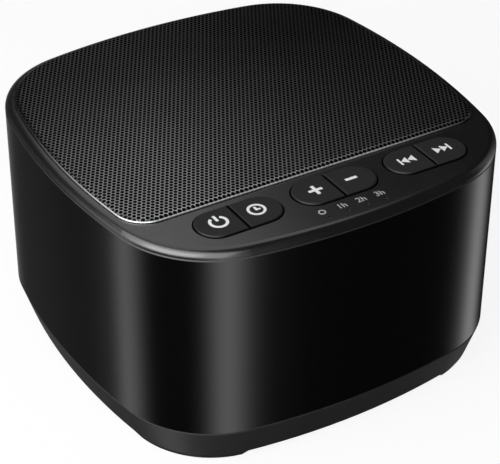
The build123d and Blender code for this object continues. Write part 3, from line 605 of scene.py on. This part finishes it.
def printed_ink(name, base):
    """Pad-printed ink: nearly even, with a few thin spots."""
    finish = Finish(name)
    speck = finish.noise(2600, 3)
    tint = finish.tones(speck, base, 0.92, 1.06)
    return finish.surface(tint, varied(0.55, speck, 0.1), {}, speck, 4e-6)


def clear_plastic(name, base):
    """Milky clear plastic of the light guide."""
    finish = Finish(name)
    cloud = finish.noise(900, 2)
    tint = finish.tones(cloud, base, 0.9, 1.1)
    return finish.surface(tint, varied(0.25, cloud, 0.1), {"Transmission Weight": 0.5})


def circuit_board(name, base):
    """Solder mask over a net of copper tracks, which are lighter and stand out a little."""
    finish = Finish(name)
    settings = {"feature": "DISTANCE_TO_EDGE"}
    edge = finish.node("ShaderNodeTexVoronoi", settings, {"Vector": finish.place(), "Scale": 420})
    track = 1 - edge.above(0.06)
    tint = finish.tones(track, base, 1.0, 1.9)
    return finish.surface(tint, 0.42 - track * 0.1, {}, track, 3e-5)


def ringed(name, base, rings, metallic, roughness, centre, depth):
    """A round part with rings about an upright axis: the height is the sine of the distance from it."""
    finish = Finish(name)
    moved = finish.vector_maths("SUBTRACT", finish.place(), (*centre, 0))
    flat = finish.vector_maths("MULTIPLY", moved, (1, 1, 0))
    far = finish.vector_maths("LENGTH", flat, output="Value")
    wave = (far * (2 * pi * rings)).sine()
    speck = finish.noise(900, 3)
    tint = finish.tones(speck, base, 0.75, 1.25)
    rough = varied(roughness, speck, 0.1)
    return finish.surface(tint, rough, {"Metallic": metallic}, wave * 0.5 + speck * 0.5, depth)


def wound_wire(name, base, pitch):
    """Copper wire wound on a former: the height is the sine of the height above the table."""
    finish = Finish(name)
    wave = (finish.axis("Z") * (2 * pi / pitch)).sine()
    # painted shade: the wire is darker in the grooves between its turns
    tint = finish.tones(wave * 0.5 + 0.5, base, 0.4, 1.2)
    return finish.surface(tint, 0.35, {"Metallic": 0.9}, wave, 4e-5)


def ribbed_ribbon(name, base, pitch):
    """Flat cable of side-by-side wires: the height is a row of half waves across X."""
    finish = Finish(name)
    ridge = (finish.axis("X") * (pi / pitch)).sine().size()
    # painted shade: darker in the grooves between the wires, lighter on their crowns
    tint = finish.tones(ridge, base, 0.6, 1.15)
    return finish.surface(tint, 0.5, {}, ridge, 1.5e-4)


def finish_recipes(colours, sizes):
    """For each material slot of the record, the function that makes its finish and what follows the name."""
    speaker = sum(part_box("speaker_magnet"), Vector()) / 2
    axle = (speaker.x, speaker.y)
    return {
        "gloss_case": (polished_plastic, colours.gloss_black, sizes),
        # painted shade on the walls of the key pockets
        "deck_plastic": (plastic, colours.satin_black, 0.26, 2600, 5e-6, 0.7, 0.8, (pocket_wall_shade, 0.3, 0.3)),
        # painted shade on the keys' sides
        "key_plastic": (plastic, colours.key_black, 0.62, 3200, 2.2e-5, 0.35, 0.0, (key_side_shade, 0.2, 0.3)),
        # painted shade along the base pan's upper edge
        "matte_case": (plastic, colours.base_black, 0.36, 2600, 8e-6, 0.5, 0.0, (pan_rim_shade, 0.3, 0.7)),
        "grille_metal": (perforated_steel, colours.grille_grey, sizes),
        "cloth": (woven, (0.006, 0.006, 0.006), 3300),
        "rubber_pad": (plastic, (0.014, 0.014, 0.014), 0.75, 1800, 4e-5, 0.25),
        "plunger_plastic": (plastic, (0.02, 0.02, 0.021), 0.4, 2400, 1e-5),
        "switch_plastic": (plastic, (0.05, 0.05, 0.052), 0.45, 2400, 1e-5),
        "plated_steel": (ringed, (0.55, 0.55, 0.53), 1400, 1.0, 0.32, axle, 4e-6),
        "foam": (plastic, (0.03, 0.03, 0.03), 0.9, 1500, 2e-4, 0.1),
        "ferrite": (ringed, (0.045, 0.045, 0.048), 500, 0.0, 0.7, axle, 3e-5),
        "terminal_board": (circuit_board, (0.25, 0.16, 0.05)),
        "screw_steel": (coated_steel, (0.42, 0.42, 0.43), 0.3, 1.0, 4000, 5e-6),
        "cone_paper": (ringed, (0.022, 0.022, 0.023), 420, 0.0, 0.85, axle, 6e-5),
        "coil_copper": (wound_wire, (0.7, 0.28, 0.12), 0.25 * MM),
        "surround_rubber": (ringed, (0.013, 0.013, 0.013), 260, 0.0, 0.6, axle, 3e-5),
        "spider_cloth": (woven, (0.42, 0.27, 0.09), 2200),
        "circuit_board": (circuit_board, (0.01, 0.07, 0.03)),
        "led_white": (plastic, (0.6, 0.6, 0.5), 0.35, 2400, 1e-5),
        "clear_guide": (clear_plastic, (0.06, 0.06, 0.062)),
        "connector_plastic": (plastic, (0.62, 0.58, 0.47), 0.5, 2400, 2e-5),
        "chip_resin": (plastic, (0.02, 0.02, 0.02), 0.55, 3600, 3e-5),
        "capacitor_can": (coated_steel, (0.03, 0.04, 0.12), 0.35, 0.2, 3000, 5e-6),
        "socket_steel": (coated_steel, (0.62, 0.62, 0.62), 0.42, 0.7, 3000, 4e-6),
        "socket_plastic": (plastic, (0.018, 0.018, 0.018), 0.5, 2400, 1e-5),
        "lead_red": (plastic, (0.35, 0.012, 0.01), 0.42, 1600, 1e-5),
        "lead_black": (plastic, (0.012, 0.012, 0.012), 0.42, 1600, 1e-5),
        "ribbon_grey": (ribbed_ribbon, (0.3, 0.3, 0.32), 1.27 * MM),
    }


FINISHES = {}


def finish_of(slot):
    """The finish of a slot, made the first time it is asked for."""
    if slot not in FINISHES:
        settings = bpy.context.scene.sound_machine
        maker, *values = finish_recipes(settings.colours, settings.sizes)[slot]
        FINISHES[slot] = maker(slot, *values)
    return FINISHES[slot]


def dress(*names):
    """Gives CAD nodes the finish of their slots."""
    for name in names:
        for material_slot in NODES[name].material_slots:
            material_slot.material = finish_of(SLOT_OF[name])


def settle(piece, body, material):
    """Gives a new piece its finish and lets it ride a body."""
    piece.data.materials.clear()
    piece.data.materials.append(material)
    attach(piece, body)


# -------- stage
# Gaps between the black flags, where the white background shows: azimuth, spread to its left and right,
# lowest and highest elevation, all in degrees, and how open the gap is
GAPS = (
    (-122, 7, 12, -48, 8, 0.68),
    (-14, 13, 11, -48, 12, 1.0),
    (84, 9.5, 12, -48, -10, 0.92),
    (84, 10.5, 12, -10, 34, 0.4),
    (-160, 20, 16, -48, 8, 0.045),
    (158, 12, 12, -48, 12, 0.3),
    (-106, 10, 12, -80, -50, 1.0),
    (-75, 25, 20, -12, 6, 0.9),
)
GAP_FADE = 16  # degrees over which a gap's lower and upper ends fade
FLAG_OPENNESS = 0.006
FLAG_STEP = 2  # degrees between the points of the sphere of flags

# Soft lamps: place, turn about the line to the machine in degrees, width, height, radiance
LAMPS = {
    "broad_lamp": ((-0.476, -0.232, 0.33), 0, 1.5, 0.8, 2.4),
    "hot_lamp": ((-0.498, -0.222, 0.248), 0, 0.55, 0.42, 2.8),
    "overhead_lamp": ((0.0, 0.14, 0.37), 10, 0.38, 0.38, 0.78),
}
LAMP_AIM = (0, 0, 0.05)
FLOOR_RADII = np.geomspace(0.01, 8, 40)
FLOOR_SPOKES = 96
FLOOR_TONE = (0.9, 0.9, 0.9, 1)
FLOOR_WHITE = 0.88  # share of plain white that is seen on the floor instead of its light


def soft_step(value):
    """0 below 0, 1 above 1, and a smooth rise between them."""
    held = np.clip(value, 0, 1)
    return held * held * (3 - 2 * held)


def openness(azimuth, elevation):
    """How much of the background shows in each direction.

    It is the sum of bell curves of the azimuth, each as open as its gap says, inside soft ends."""
    light = np.full(azimuth.shape, FLAG_OPENNESS)
    for middle, left, right, low, high, level in GAPS:
        aside = (azimuth - middle + 180) % 360 - 180
        across = np.exp(-0.5 * (aside / np.where(aside < 0, left, right)) ** 2)
        ends = [soft_step(within / GAP_FADE + 0.5) for within in (elevation - low, high - elevation)]
        light += level * across * ends[0] * ends[1]
    return np.clip(light, 0, 1)


class SOUNDMACHINE_OT_stage(Operator):
    """Makes the camera, the floor, the lamps and the black flags that polished surfaces mirror"""

    bl_idname = "sound_machine.stage"
    bl_label = "Stage"

    def execute(self, context):
        stage = context.scene.sound_machine.stage
        context.scene.view_settings.view_transform = "Standard"
        self.camera(context, stage)
        self.world(context, stage)
        self.floor()
        self.flags(stage)
        self.lamps()
        return {"FINISHED"}

    def camera(self, context, stage):
        """The camera looks at the middle of the machine from its azimuth, elevation and distance."""
        data = bpy.data.cameras.new("camera")
        data.sensor_width = 36
        data.lens = stage.lens
        data.shift_x, data.shift_y = stage.shift_x, stage.shift_y
        data.clip_start, data.clip_end = 0.01, 20
        turn, rise = stage.azimuth, stage.elevation
        back = Vector((sin(turn) * cos(rise), -cos(turn) * cos(rise), sin(rise)))
        right = Vector((cos(turn), sin(turn), 0))
        up = back.cross(right)
        rolled_right = right * cos(stage.roll) + up * sin(stage.roll)
        rolled_up = up * cos(stage.roll) - right * sin(stage.roll)
        camera = add_object(data)
        place = Vector((0, 0, stage.target_height)) + back * stage.distance
        axes = Matrix((rolled_right, rolled_up, back)).transposed()
        camera.matrix_world = Matrix.Translation(place) @ axes.to_4x4()
        context.scene.camera = camera

    def world(self, context, stage):
        """White where it is seen or mirrored, and only as strong as the ambient light where it lights."""
        sky = Finish("studio", bpy.data.worlds.new("studio"), "ShaderNodeOutputWorld")
        levels = {"Value": sky.seen(), "To Min": stage.ambient, "To Max": 1.0}
        strength = sky.node("ShaderNodeMapRange", {}, levels)
        light = sky.node("ShaderNodeBackground", {}, {"Color": (1, 1, 1, 1), "Strength": strength})
        context.scene.world = sky.show(light)
        context.scene.world.cycles.sampling_method = "NONE"

    def floor(self):
        """A flat disc of rings: each point is a radius times the direction of a turn, at height zero.

        Shiny pieces don't mirror it, and show the white of the world there."""
        turn = np.linspace(0, 2 * pi, FLOOR_SPOKES, endpoint=False)
        plan = FLOOR_RADII[:, None, None] * rays_of(turn)
        points = np.concatenate([plan, np.zeros_like(plan[..., :1])], axis=2).reshape(-1, 3)
        faces = grid_faces(len(FLOOR_RADII), FLOOR_SPOKES, close_columns=True)
        middle = np.arange(FLOOR_SPOKES)[None]
        floor = add_shaded(mesh_from("floor", points, [faces, middle]), smooth=True)
        finish = Finish("floor")
        plain = finish.node("ShaderNodeBsdfDiffuse", {}, {"Color": FLOOR_TONE})
        white = finish.node("ShaderNodeEmission", {}, {"Strength": 1.0})
        floor.data.materials.append(finish.show(finish.mixed(finish.seen() * FLOOR_WHITE, plain, white)))
        floor.visible_glossy = False

    def flags(self, stage):
        """A sphere of black flags: each point is the radius times the direction of its azimuth and elevation.

        Only glossy rays meet it: it is black to them, and clear in its gaps."""
        azimuth = np.arange(-180, 180, FLAG_STEP)
        elevation = np.arange(-90, 91, FLAG_STEP)
        rise, turn = np.meshgrid(np.radians(elevation), np.radians(azimuth), indexing="ij")
        x, y = np.sin(turn) * np.cos(rise), -np.cos(turn) * np.cos(rise)
        points = (np.stack([x, y, np.sin(rise)], axis=2) * stage.flag_radius).reshape(-1, 3)
        faces = grid_faces(len(elevation), len(azimuth), close_columns=True)
        flags = add_shaded(mesh_from("flags", points, [faces]), smooth=True)
        levels = openness(np.degrees(turn), np.degrees(rise)).ravel().astype(np.float32)
        flags.data.attributes.new("openness", "FLOAT", "POINT").data.foreach_set("value", levels)
        finish = Finish("flags")
        level = finish.node("ShaderNodeAttribute", {"attribute_name": "openness"}, output="Fac")
        black = finish.node("ShaderNodeEmission", {}, {"Strength": 0.0})
        clear = finish.node("ShaderNodeBsdfTransparent")
        flags.data.materials.append(finish.show(finish.mixed(level, black, clear)))
        flags.visible_camera = flags.visible_diffuse = flags.visible_transmission = False
        flags.visible_volume_scatter = flags.visible_shadow = False

    def lamps(self):
        """Each lamp faces the machine, and its power is its radiance times pi times its area."""
        for name, (place, turn, width, height, radiance) in LAMPS.items():
            data = bpy.data.lights.new(name, "AREA")
            data.shape = "RECTANGLE"
            data.size, data.size_y = width, height
            data.energy = radiance * pi * width * height
            lamp = add_object(data)
            away = Vector(place) - Vector(LAMP_AIM)
            facing = away.to_track_quat("Z", "Y").to_matrix() @ Matrix.Rotation(radians(turn), 3, "Z")
            lamp.matrix_world = Matrix.Translation(place) @ facing.to_4x4()
            lamp.visible_camera = False


# -------- case and grille
class SOUNDMACHINE_OT_case(Operator):
    """Finishes the housing wall, the top cover, the base pan and the rubber pads"""

    bl_idname = "sound_machine.case"
    bl_label = "Case"

    def execute(self, context):
        dress("housing_wall", "top_cover", "base_pan")
        dress(*[name for name in NODES if name.startswith("foot_pad")])
        return {"FINISHED"}


class SOUNDMACHINE_OT_grille(Operator):
    """Builds the formed edge of the grille and its perforated sheet, with the dust cloth behind it"""

    bl_idname = "sound_machine.grille"
    bl_label = "Grille"

    def execute(self, context):
        settings = context.scene.sound_machine
        path, normals = grille_path(settings.sizes, PATH_STEP)
        # the bead's finish paints a highlight towards the front and the left
        highlit_bead = bead_highlight_steel("glinting_bead", settings.colours.bead_highlight_colour)
        self.edge(settings.sizes, path, normals, highlit_bead)
        self.sheet(settings.sizes, path, normals)
        dress("dust_cloth")
        return {"FINISHED"}

    def fallen(self, sizes, inset):
        """How far the sheet lies below its top at an inset: the fall times the square of the curl's rest."""
        left = np.clip(1 - (inset - sizes.bead) / sizes.curl, 0, 1)
        return sizes.fall * left**2

    def edge(self, sizes, path, normals, highlit_bead):
        """The formed edge: an upright skirt and a curved border with a round bead at their bend.

        The skirt's profile goes up outside, in along the border, then back under it. The bead's is a
        circle, each of whose points is the centre plus the bead's radius times a direction."""
        foot = GRILLE_LOW.z
        level = GRILLE_HIGH.z - sizes.sheet + SHEET_GAP
        inner = SKIRT_INSET + sizes.sheet
        inset = np.linspace(sizes.bead, sizes.border, 5)
        curve = np.stack([inset, GRILLE_HIGH.z - SHEET_GAP / 2 - self.fallen(sizes, inset)], axis=1)
        bend = curve[0, 1]
        outside = [[SKIRT_INSET, foot], [SKIRT_INSET, bend - SKIRT_INSET]]
        inside = [[sizes.border, level], [inner, level], [inner, foot]]
        profile = np.concatenate([outside, curve, inside])
        skirt = add_shaded(swept_profile("grille_edge", path, normals, profile), smooth=False)
        settle(skirt, "case", finish_of("grille_metal"))
        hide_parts("grille")
        centre = np.array([sizes.bead - BEAD_OUT, bend - BEAD_DOWN])
        circle = centre + sizes.bead * rays_of(-np.linspace(0, 2 * pi, 16, endpoint=False))
        bead = add_shaded(swept_profile("grille_bead", path, normals, circle), smooth=True)
        settle(bead, "case", highlit_bead)

    def sheet(self, sizes, path, normals):
        """The perforated field: a lattice of six-sided cells, each with a round hole, in four pieces.

        Cell centres lie a pitch apart in rows along X, and every other row is moved by half a pitch."""
        pitch = sizes.hole_pitch
        rise = pitch * sqrt(3) / 2
        reach = GRILLE_HIGH - GRILLE_LOW
        rows, columns = int(reach.y / rise / 2) + 1, int(reach.x / pitch / 2) + 1
        row, column = np.meshgrid(np.arange(-rows, rows + 1), np.arange(-columns, columns + 1), indexing="ij")
        x = GRILLE_MIDDLE.x + (column + 0.5 * (row % 2)) * pitch
        y = GRILLE_MIDDLE.y + row * rise
        centres = np.stack([x.ravel(), y.ravel()], axis=1)
        inset = nearest_inset(centres, path, normals)
        open_cells = centres[inset > sizes.border - BORDER_SHARE * pitch]
        order = np.argsort(open_cells[:, 0], kind="stable")
        for number, part in enumerate(np.array_split(open_cells[order], 4), start=1):
            mesh = self.cells(f"grille_sheet_{number}", sizes, part, path, normals)
            piece = add_shaded(mesh, smooth=False)
            settle(piece, "case", finish_of("grille_metal"))

    def cells(self, name, sizes, centres, path, normals):
        """Cells as four bands of faces between five rings, walled where the piece has no cell beside them.

        A cell's border at an angle is half the pitch over the cosine of the angle from its nearest side's
        normal. The upper rings are lowered by what the sheet falls at each point's inset."""
        corners = 12
        degrees = np.arange(0, 360, 360 // corners)
        border = (sizes.hole_pitch / 2) / np.cos(np.radians((degrees + 30) % 60 - 30))
        top = GRILLE_HIGH.z - SHEET_GAP
        bottom = GRILLE_HIGH.z - sizes.sheet + SHEET_GAP
        hole, broken = sizes.hole_radius, sizes.hole_break
        rings = [
            (border, top),
            (np.full(corners, hole + broken), top),
            (np.full(corners, hole), top - broken),
            (np.full(corners, hole), bottom),
            (border, bottom),
        ]
        direction = rays_of(np.radians(degrees))
        shape = np.stack([np.c_[radius[:, None] * direction, np.full(corners, z)] for radius, z in rings])
        lift = np.c_[centres, np.zeros(len(centres))]
        points = (lift[:, None, None, :] + shape[None]).reshape(-1, 3)
        first = (np.arange(len(centres)) * len(rings) * corners)[:, None, None]
        bands = grid_faces(len(rings), corners, close_columns=True)[None, :, ::-1]
        upper_side = np.arange(corners)
        upper_after = (upper_side + 1) % corners
        down = (len(rings) - 1) * corners
        wall = np.stack([upper_side, upper_side + down, upper_after + down, upper_after], axis=1)[None]
        kept, number = weld(points)
        faces, walls = (number[(group + first).reshape(-1, 4)] for group in (bands, wall))
        edges = np.sort(walls[:, [0, 3]], axis=1)
        _, group, count = np.unique(edges, axis=0, return_inverse=True, return_counts=True)
        walls = walls[count[group.ravel()] == 1]
        upper = kept[:, 2] > bottom + SHEET_GAP / 2
        kept[upper, 2] -= self.fallen(sizes, nearest_inset(kept[upper, :2], path, normals))
        return mesh_from(name, kept, [faces, walls])


# -------- printed marks
def solid_mark(name, outlines, place, base, rise):
    """Printed shapes in millimetres: each outline is a loop of plan points, a thin prism from a base height.

    A pair of loops, an outer and an inner one, is a ring of four sides: outer, top, inner and bottom."""
    points, faces = [], []
    for outline in outlines:
        start = sum(len(group) for group in points)
        loops = np.asarray(outline, float) * MM + np.asarray(place) * MM
        count = loops.shape[-2]
        if loops.ndim == 3:
            outer, inner = loops
            corners = ((outer, base), (outer, base + rise), (inner, base + rise), (inner, base))
            levels = [np.c_[loop, np.full(count, z)] for loop, z in corners]
            points.append(np.stack(levels, axis=1).reshape(-1, 3))
            faces.append(start + grid_faces(count, 4, close_rows=True, close_columns=True))
        else:
            points += [np.c_[loops, np.full(count, z)] for z in (base, base + rise)]
            lower = start + np.arange(count)
            after = np.roll(lower, -1)
            sides = np.stack([lower, after, after + count, lower + count], axis=1)
            faces += [sides, lower[None, ::-1], lower[None] + count]
    return add_shaded(mesh_from(name, np.concatenate(points), faces), smooth=False)


def band(radius, width, start, end, steps=48):
    """The outline of an arc with a width: out along its outer edge and back along its inner one."""
    ray = rays_of(np.radians(np.linspace(start, end, steps)))
    return np.concatenate([ray * (radius + width / 2), (ray * (radius - width / 2))[::-1]])


def bar(x0, y0, x1, y1):
    """A rectangle between two corners."""
    return [(x0, y0), (x1, y0), (x1, y1), (x0, y1)]


def arrow(tip, back, half=1.25):
    """A triangle from an upright back to a tip at its side, whose corners go round anticlockwise."""
    side = half if tip > back else -half
    return [(back, side), (back, -side), (tip, 0)]


def ring(radius, width, steps=72):
    """The outer and the inner loop of a whole ring."""
    ray = rays_of(np.linspace(0, 2 * pi, steps, endpoint=False))
    return np.stack([ray * (radius + width / 2), ray * (radius - width / 2)])


def plus(reach, half):
    """Two crossed bars: three corners of their outline, and the same three turned on by quarter turns."""
    parts = [np.array([(half, half), (half, reach), (-half, reach)])]
    for _ in range(3):
        parts.append(parts[-1] @ np.array([(0, 1), (-1, 0)]))
    return np.concatenate(parts)


# The symbols on the keys, in millimetres: their row's Y, and of each its middle's X and its outlines
SYMBOL_ROW = -37.2
CLOCK_HANDS = [(-0.3, 1.1), (-0.3, -0.3), (0.95, -0.3), (0.95, 0.24), (0.28, 0.24), (0.28, 1.1)]
SYMBOLS = {
    "power": (-29.5, [band(1.92, 0.7, 124, 416), bar(-0.34, 0.35, 0.34, 2.5)]),
    "timer": (-20.0, [ring(1.86, 0.62), CLOCK_HANDS]),
    "volume_up": (-4.85, [plus(1.75, 0.4)]),
    "volume_down": (4.55, [bar(-1.5, -0.42, 1.5, 0.42)]),
    "previous": (19.7, [bar(-2.1, -1.3, -1.6, 1.3), arrow(-1.55, 0.15), arrow(0.25, 2.0)]),
    "next": (29.4, [bar(1.6, -1.3, 2.1, 1.3), arrow(1.55, -0.15), arrow(-0.25, -2.0)]),
}
# The marks on the deck, in millimetres: of each label its words and its middle's X, the ring's X, the row's Y
LABELS = {"one_hour": ("1h", -2.7), "two_hours": ("2h", 2.1), "three_hours": ("3h", 7.0)}
RING_X = -7.95
LABEL_ROW = -44.7


class SOUNDMACHINE_OT_keys(Operator):
    """Finishes the keys and prints a symbol on each"""

    bl_idname = "sound_machine.keys"
    bl_label = "Keys"

    def execute(self, context):
        settings = context.scene.sound_machine
        ink = printed_ink("white_ink", settings.colours.print_white)
        for key, (x, outlines) in SYMBOLS.items():
            dress(f"key_{key}", f"plunger_{key}", f"switch_{key}")
            place = (x, SYMBOL_ROW)
            piece = solid_mark(f"mark_{key}", outlines, place, KEY_HIGH.z, settings.sizes.print_rise)
            settle(piece, f"{key}_key", ink)
        return {"FINISHED"}


class SOUNDMACHINE_OT_deck_marks(Operator):
    """Prints the ring and the hour labels on the deck, over the indicator dots"""

    bl_idname = "sound_machine.deck_marks"
    bl_label = "Deck marks"

    def execute(self, context):
        settings = context.scene.sound_machine
        sizes = settings.sizes
        ink = printed_ink("grey_ink", settings.colours.print_grey)
        piece = solid_mark("mark_ring", [ring(0.72, 0.34)], (RING_X, LABEL_ROW), DECK, sizes.print_rise)
        settle(piece, "case", ink)
        for name, (words, x) in LABELS.items():
            settle(self.label(f"mark_{name}", words, x, sizes), "case", ink)
        dress("light_guide", "indicator_leds")
        return {"FINISHED"}

    def label(self, name, words, x, sizes):
        """Flat letters made a mesh, then set on the deck with their middle at a place."""
        curve = bpy.data.curves.new(f"{name}_source", "FONT")
        curve.body = words
        curve.size = sizes.label_height / DIGIT_SHARE
        curve.extrude = sizes.print_rise / 2
        curve.offset = LETTER_WEIGHT
        source = add_object(curve)
        bpy.context.view_layer.update()
        depsgraph = bpy.context.evaluated_depsgraph_get()
        mesh = bpy.data.meshes.new_from_object(source.evaluated_get(depsgraph))
        bpy.data.objects.remove(source)
        mesh.name = name
        points = np.zeros((len(mesh.vertices), 3), np.float32)
        mesh.vertices.foreach_get("co", points.ravel())
        middle = (points.min(0) + points.max(0)) / 2
        place = Vector((x * MM, LABEL_ROW * MM, DECK + sizes.print_rise / 2))
        mesh.transform(Matrix.Translation(place - Vector(middle)))
        mesh.update()
        return add_object(mesh)


class SOUNDMACHINE_OT_inside(Operator):
    """Finishes the loudspeaker, the circuit boards, the socket, the leads and the screws"""

    bl_idname = "sound_machine.inside"
    bl_label = "Inside"

    def execute(self, context):
        by_key = [f"{part}_{key}" for key in SYMBOLS for part in ("key", "plunger", "switch")]
        case = ["housing_wall", "top_cover", "base_pan", "grille", "dust_cloth"]
        lights = ["light_guide", "indicator_leds"]
        finished = {*case, *lights, *by_key}
        dress(*[name for name in NODES if name not in finished and not name.startswith("foot_pad")])
        return {"FINISHED"}


# -------- panel
class SOUNDMACHINE_PT_panel(Panel):
    """Lists the steps in the order in which they are run"""

    bl_idname = "SOUNDMACHINE_PT_panel"
    bl_label = "Sound Machine"
    bl_space_type = "VIEW_3D"
    bl_region_type = "UI"
    bl_category = "Sound Machine"

    def draw(self, context):
        for step in STEPS:
            self.layout.operator(step.bl_idname)


STEPS = (
    SOUNDMACHINE_OT_stage,
    SOUNDMACHINE_OT_case,
    SOUNDMACHINE_OT_grille,
    SOUNDMACHINE_OT_keys,
    SOUNDMACHINE_OT_deck_marks,
    SOUNDMACHINE_OT_inside,
)
GROUPS = (SoundMachineSizes, SoundMachineColours, SoundMachineStage, SoundMachineSettings)
CLASSES = (*GROUPS, *STEPS, SOUNDMACHINE_PT_panel)


def register():
    for item in CLASSES:
        bpy.utils.register_class(item)
    bpy.types.Scene.sound_machine = PointerProperty(type=SoundMachineSettings)


def unregister():
    del bpy.types.Scene.sound_machine
    for item in reversed(CLASSES):
        bpy.utils.unregister_class(item)


def main():
    register()
    bpy.ops.sound_machine.stage()
    bpy.ops.sound_machine.case()
    bpy.ops.sound_machine.grille()
    bpy.ops.sound_machine.keys()
    bpy.ops.sound_machine.deck_marks()
    bpy.ops.sound_machine.inside()


if __name__ == "__main__":
    main()
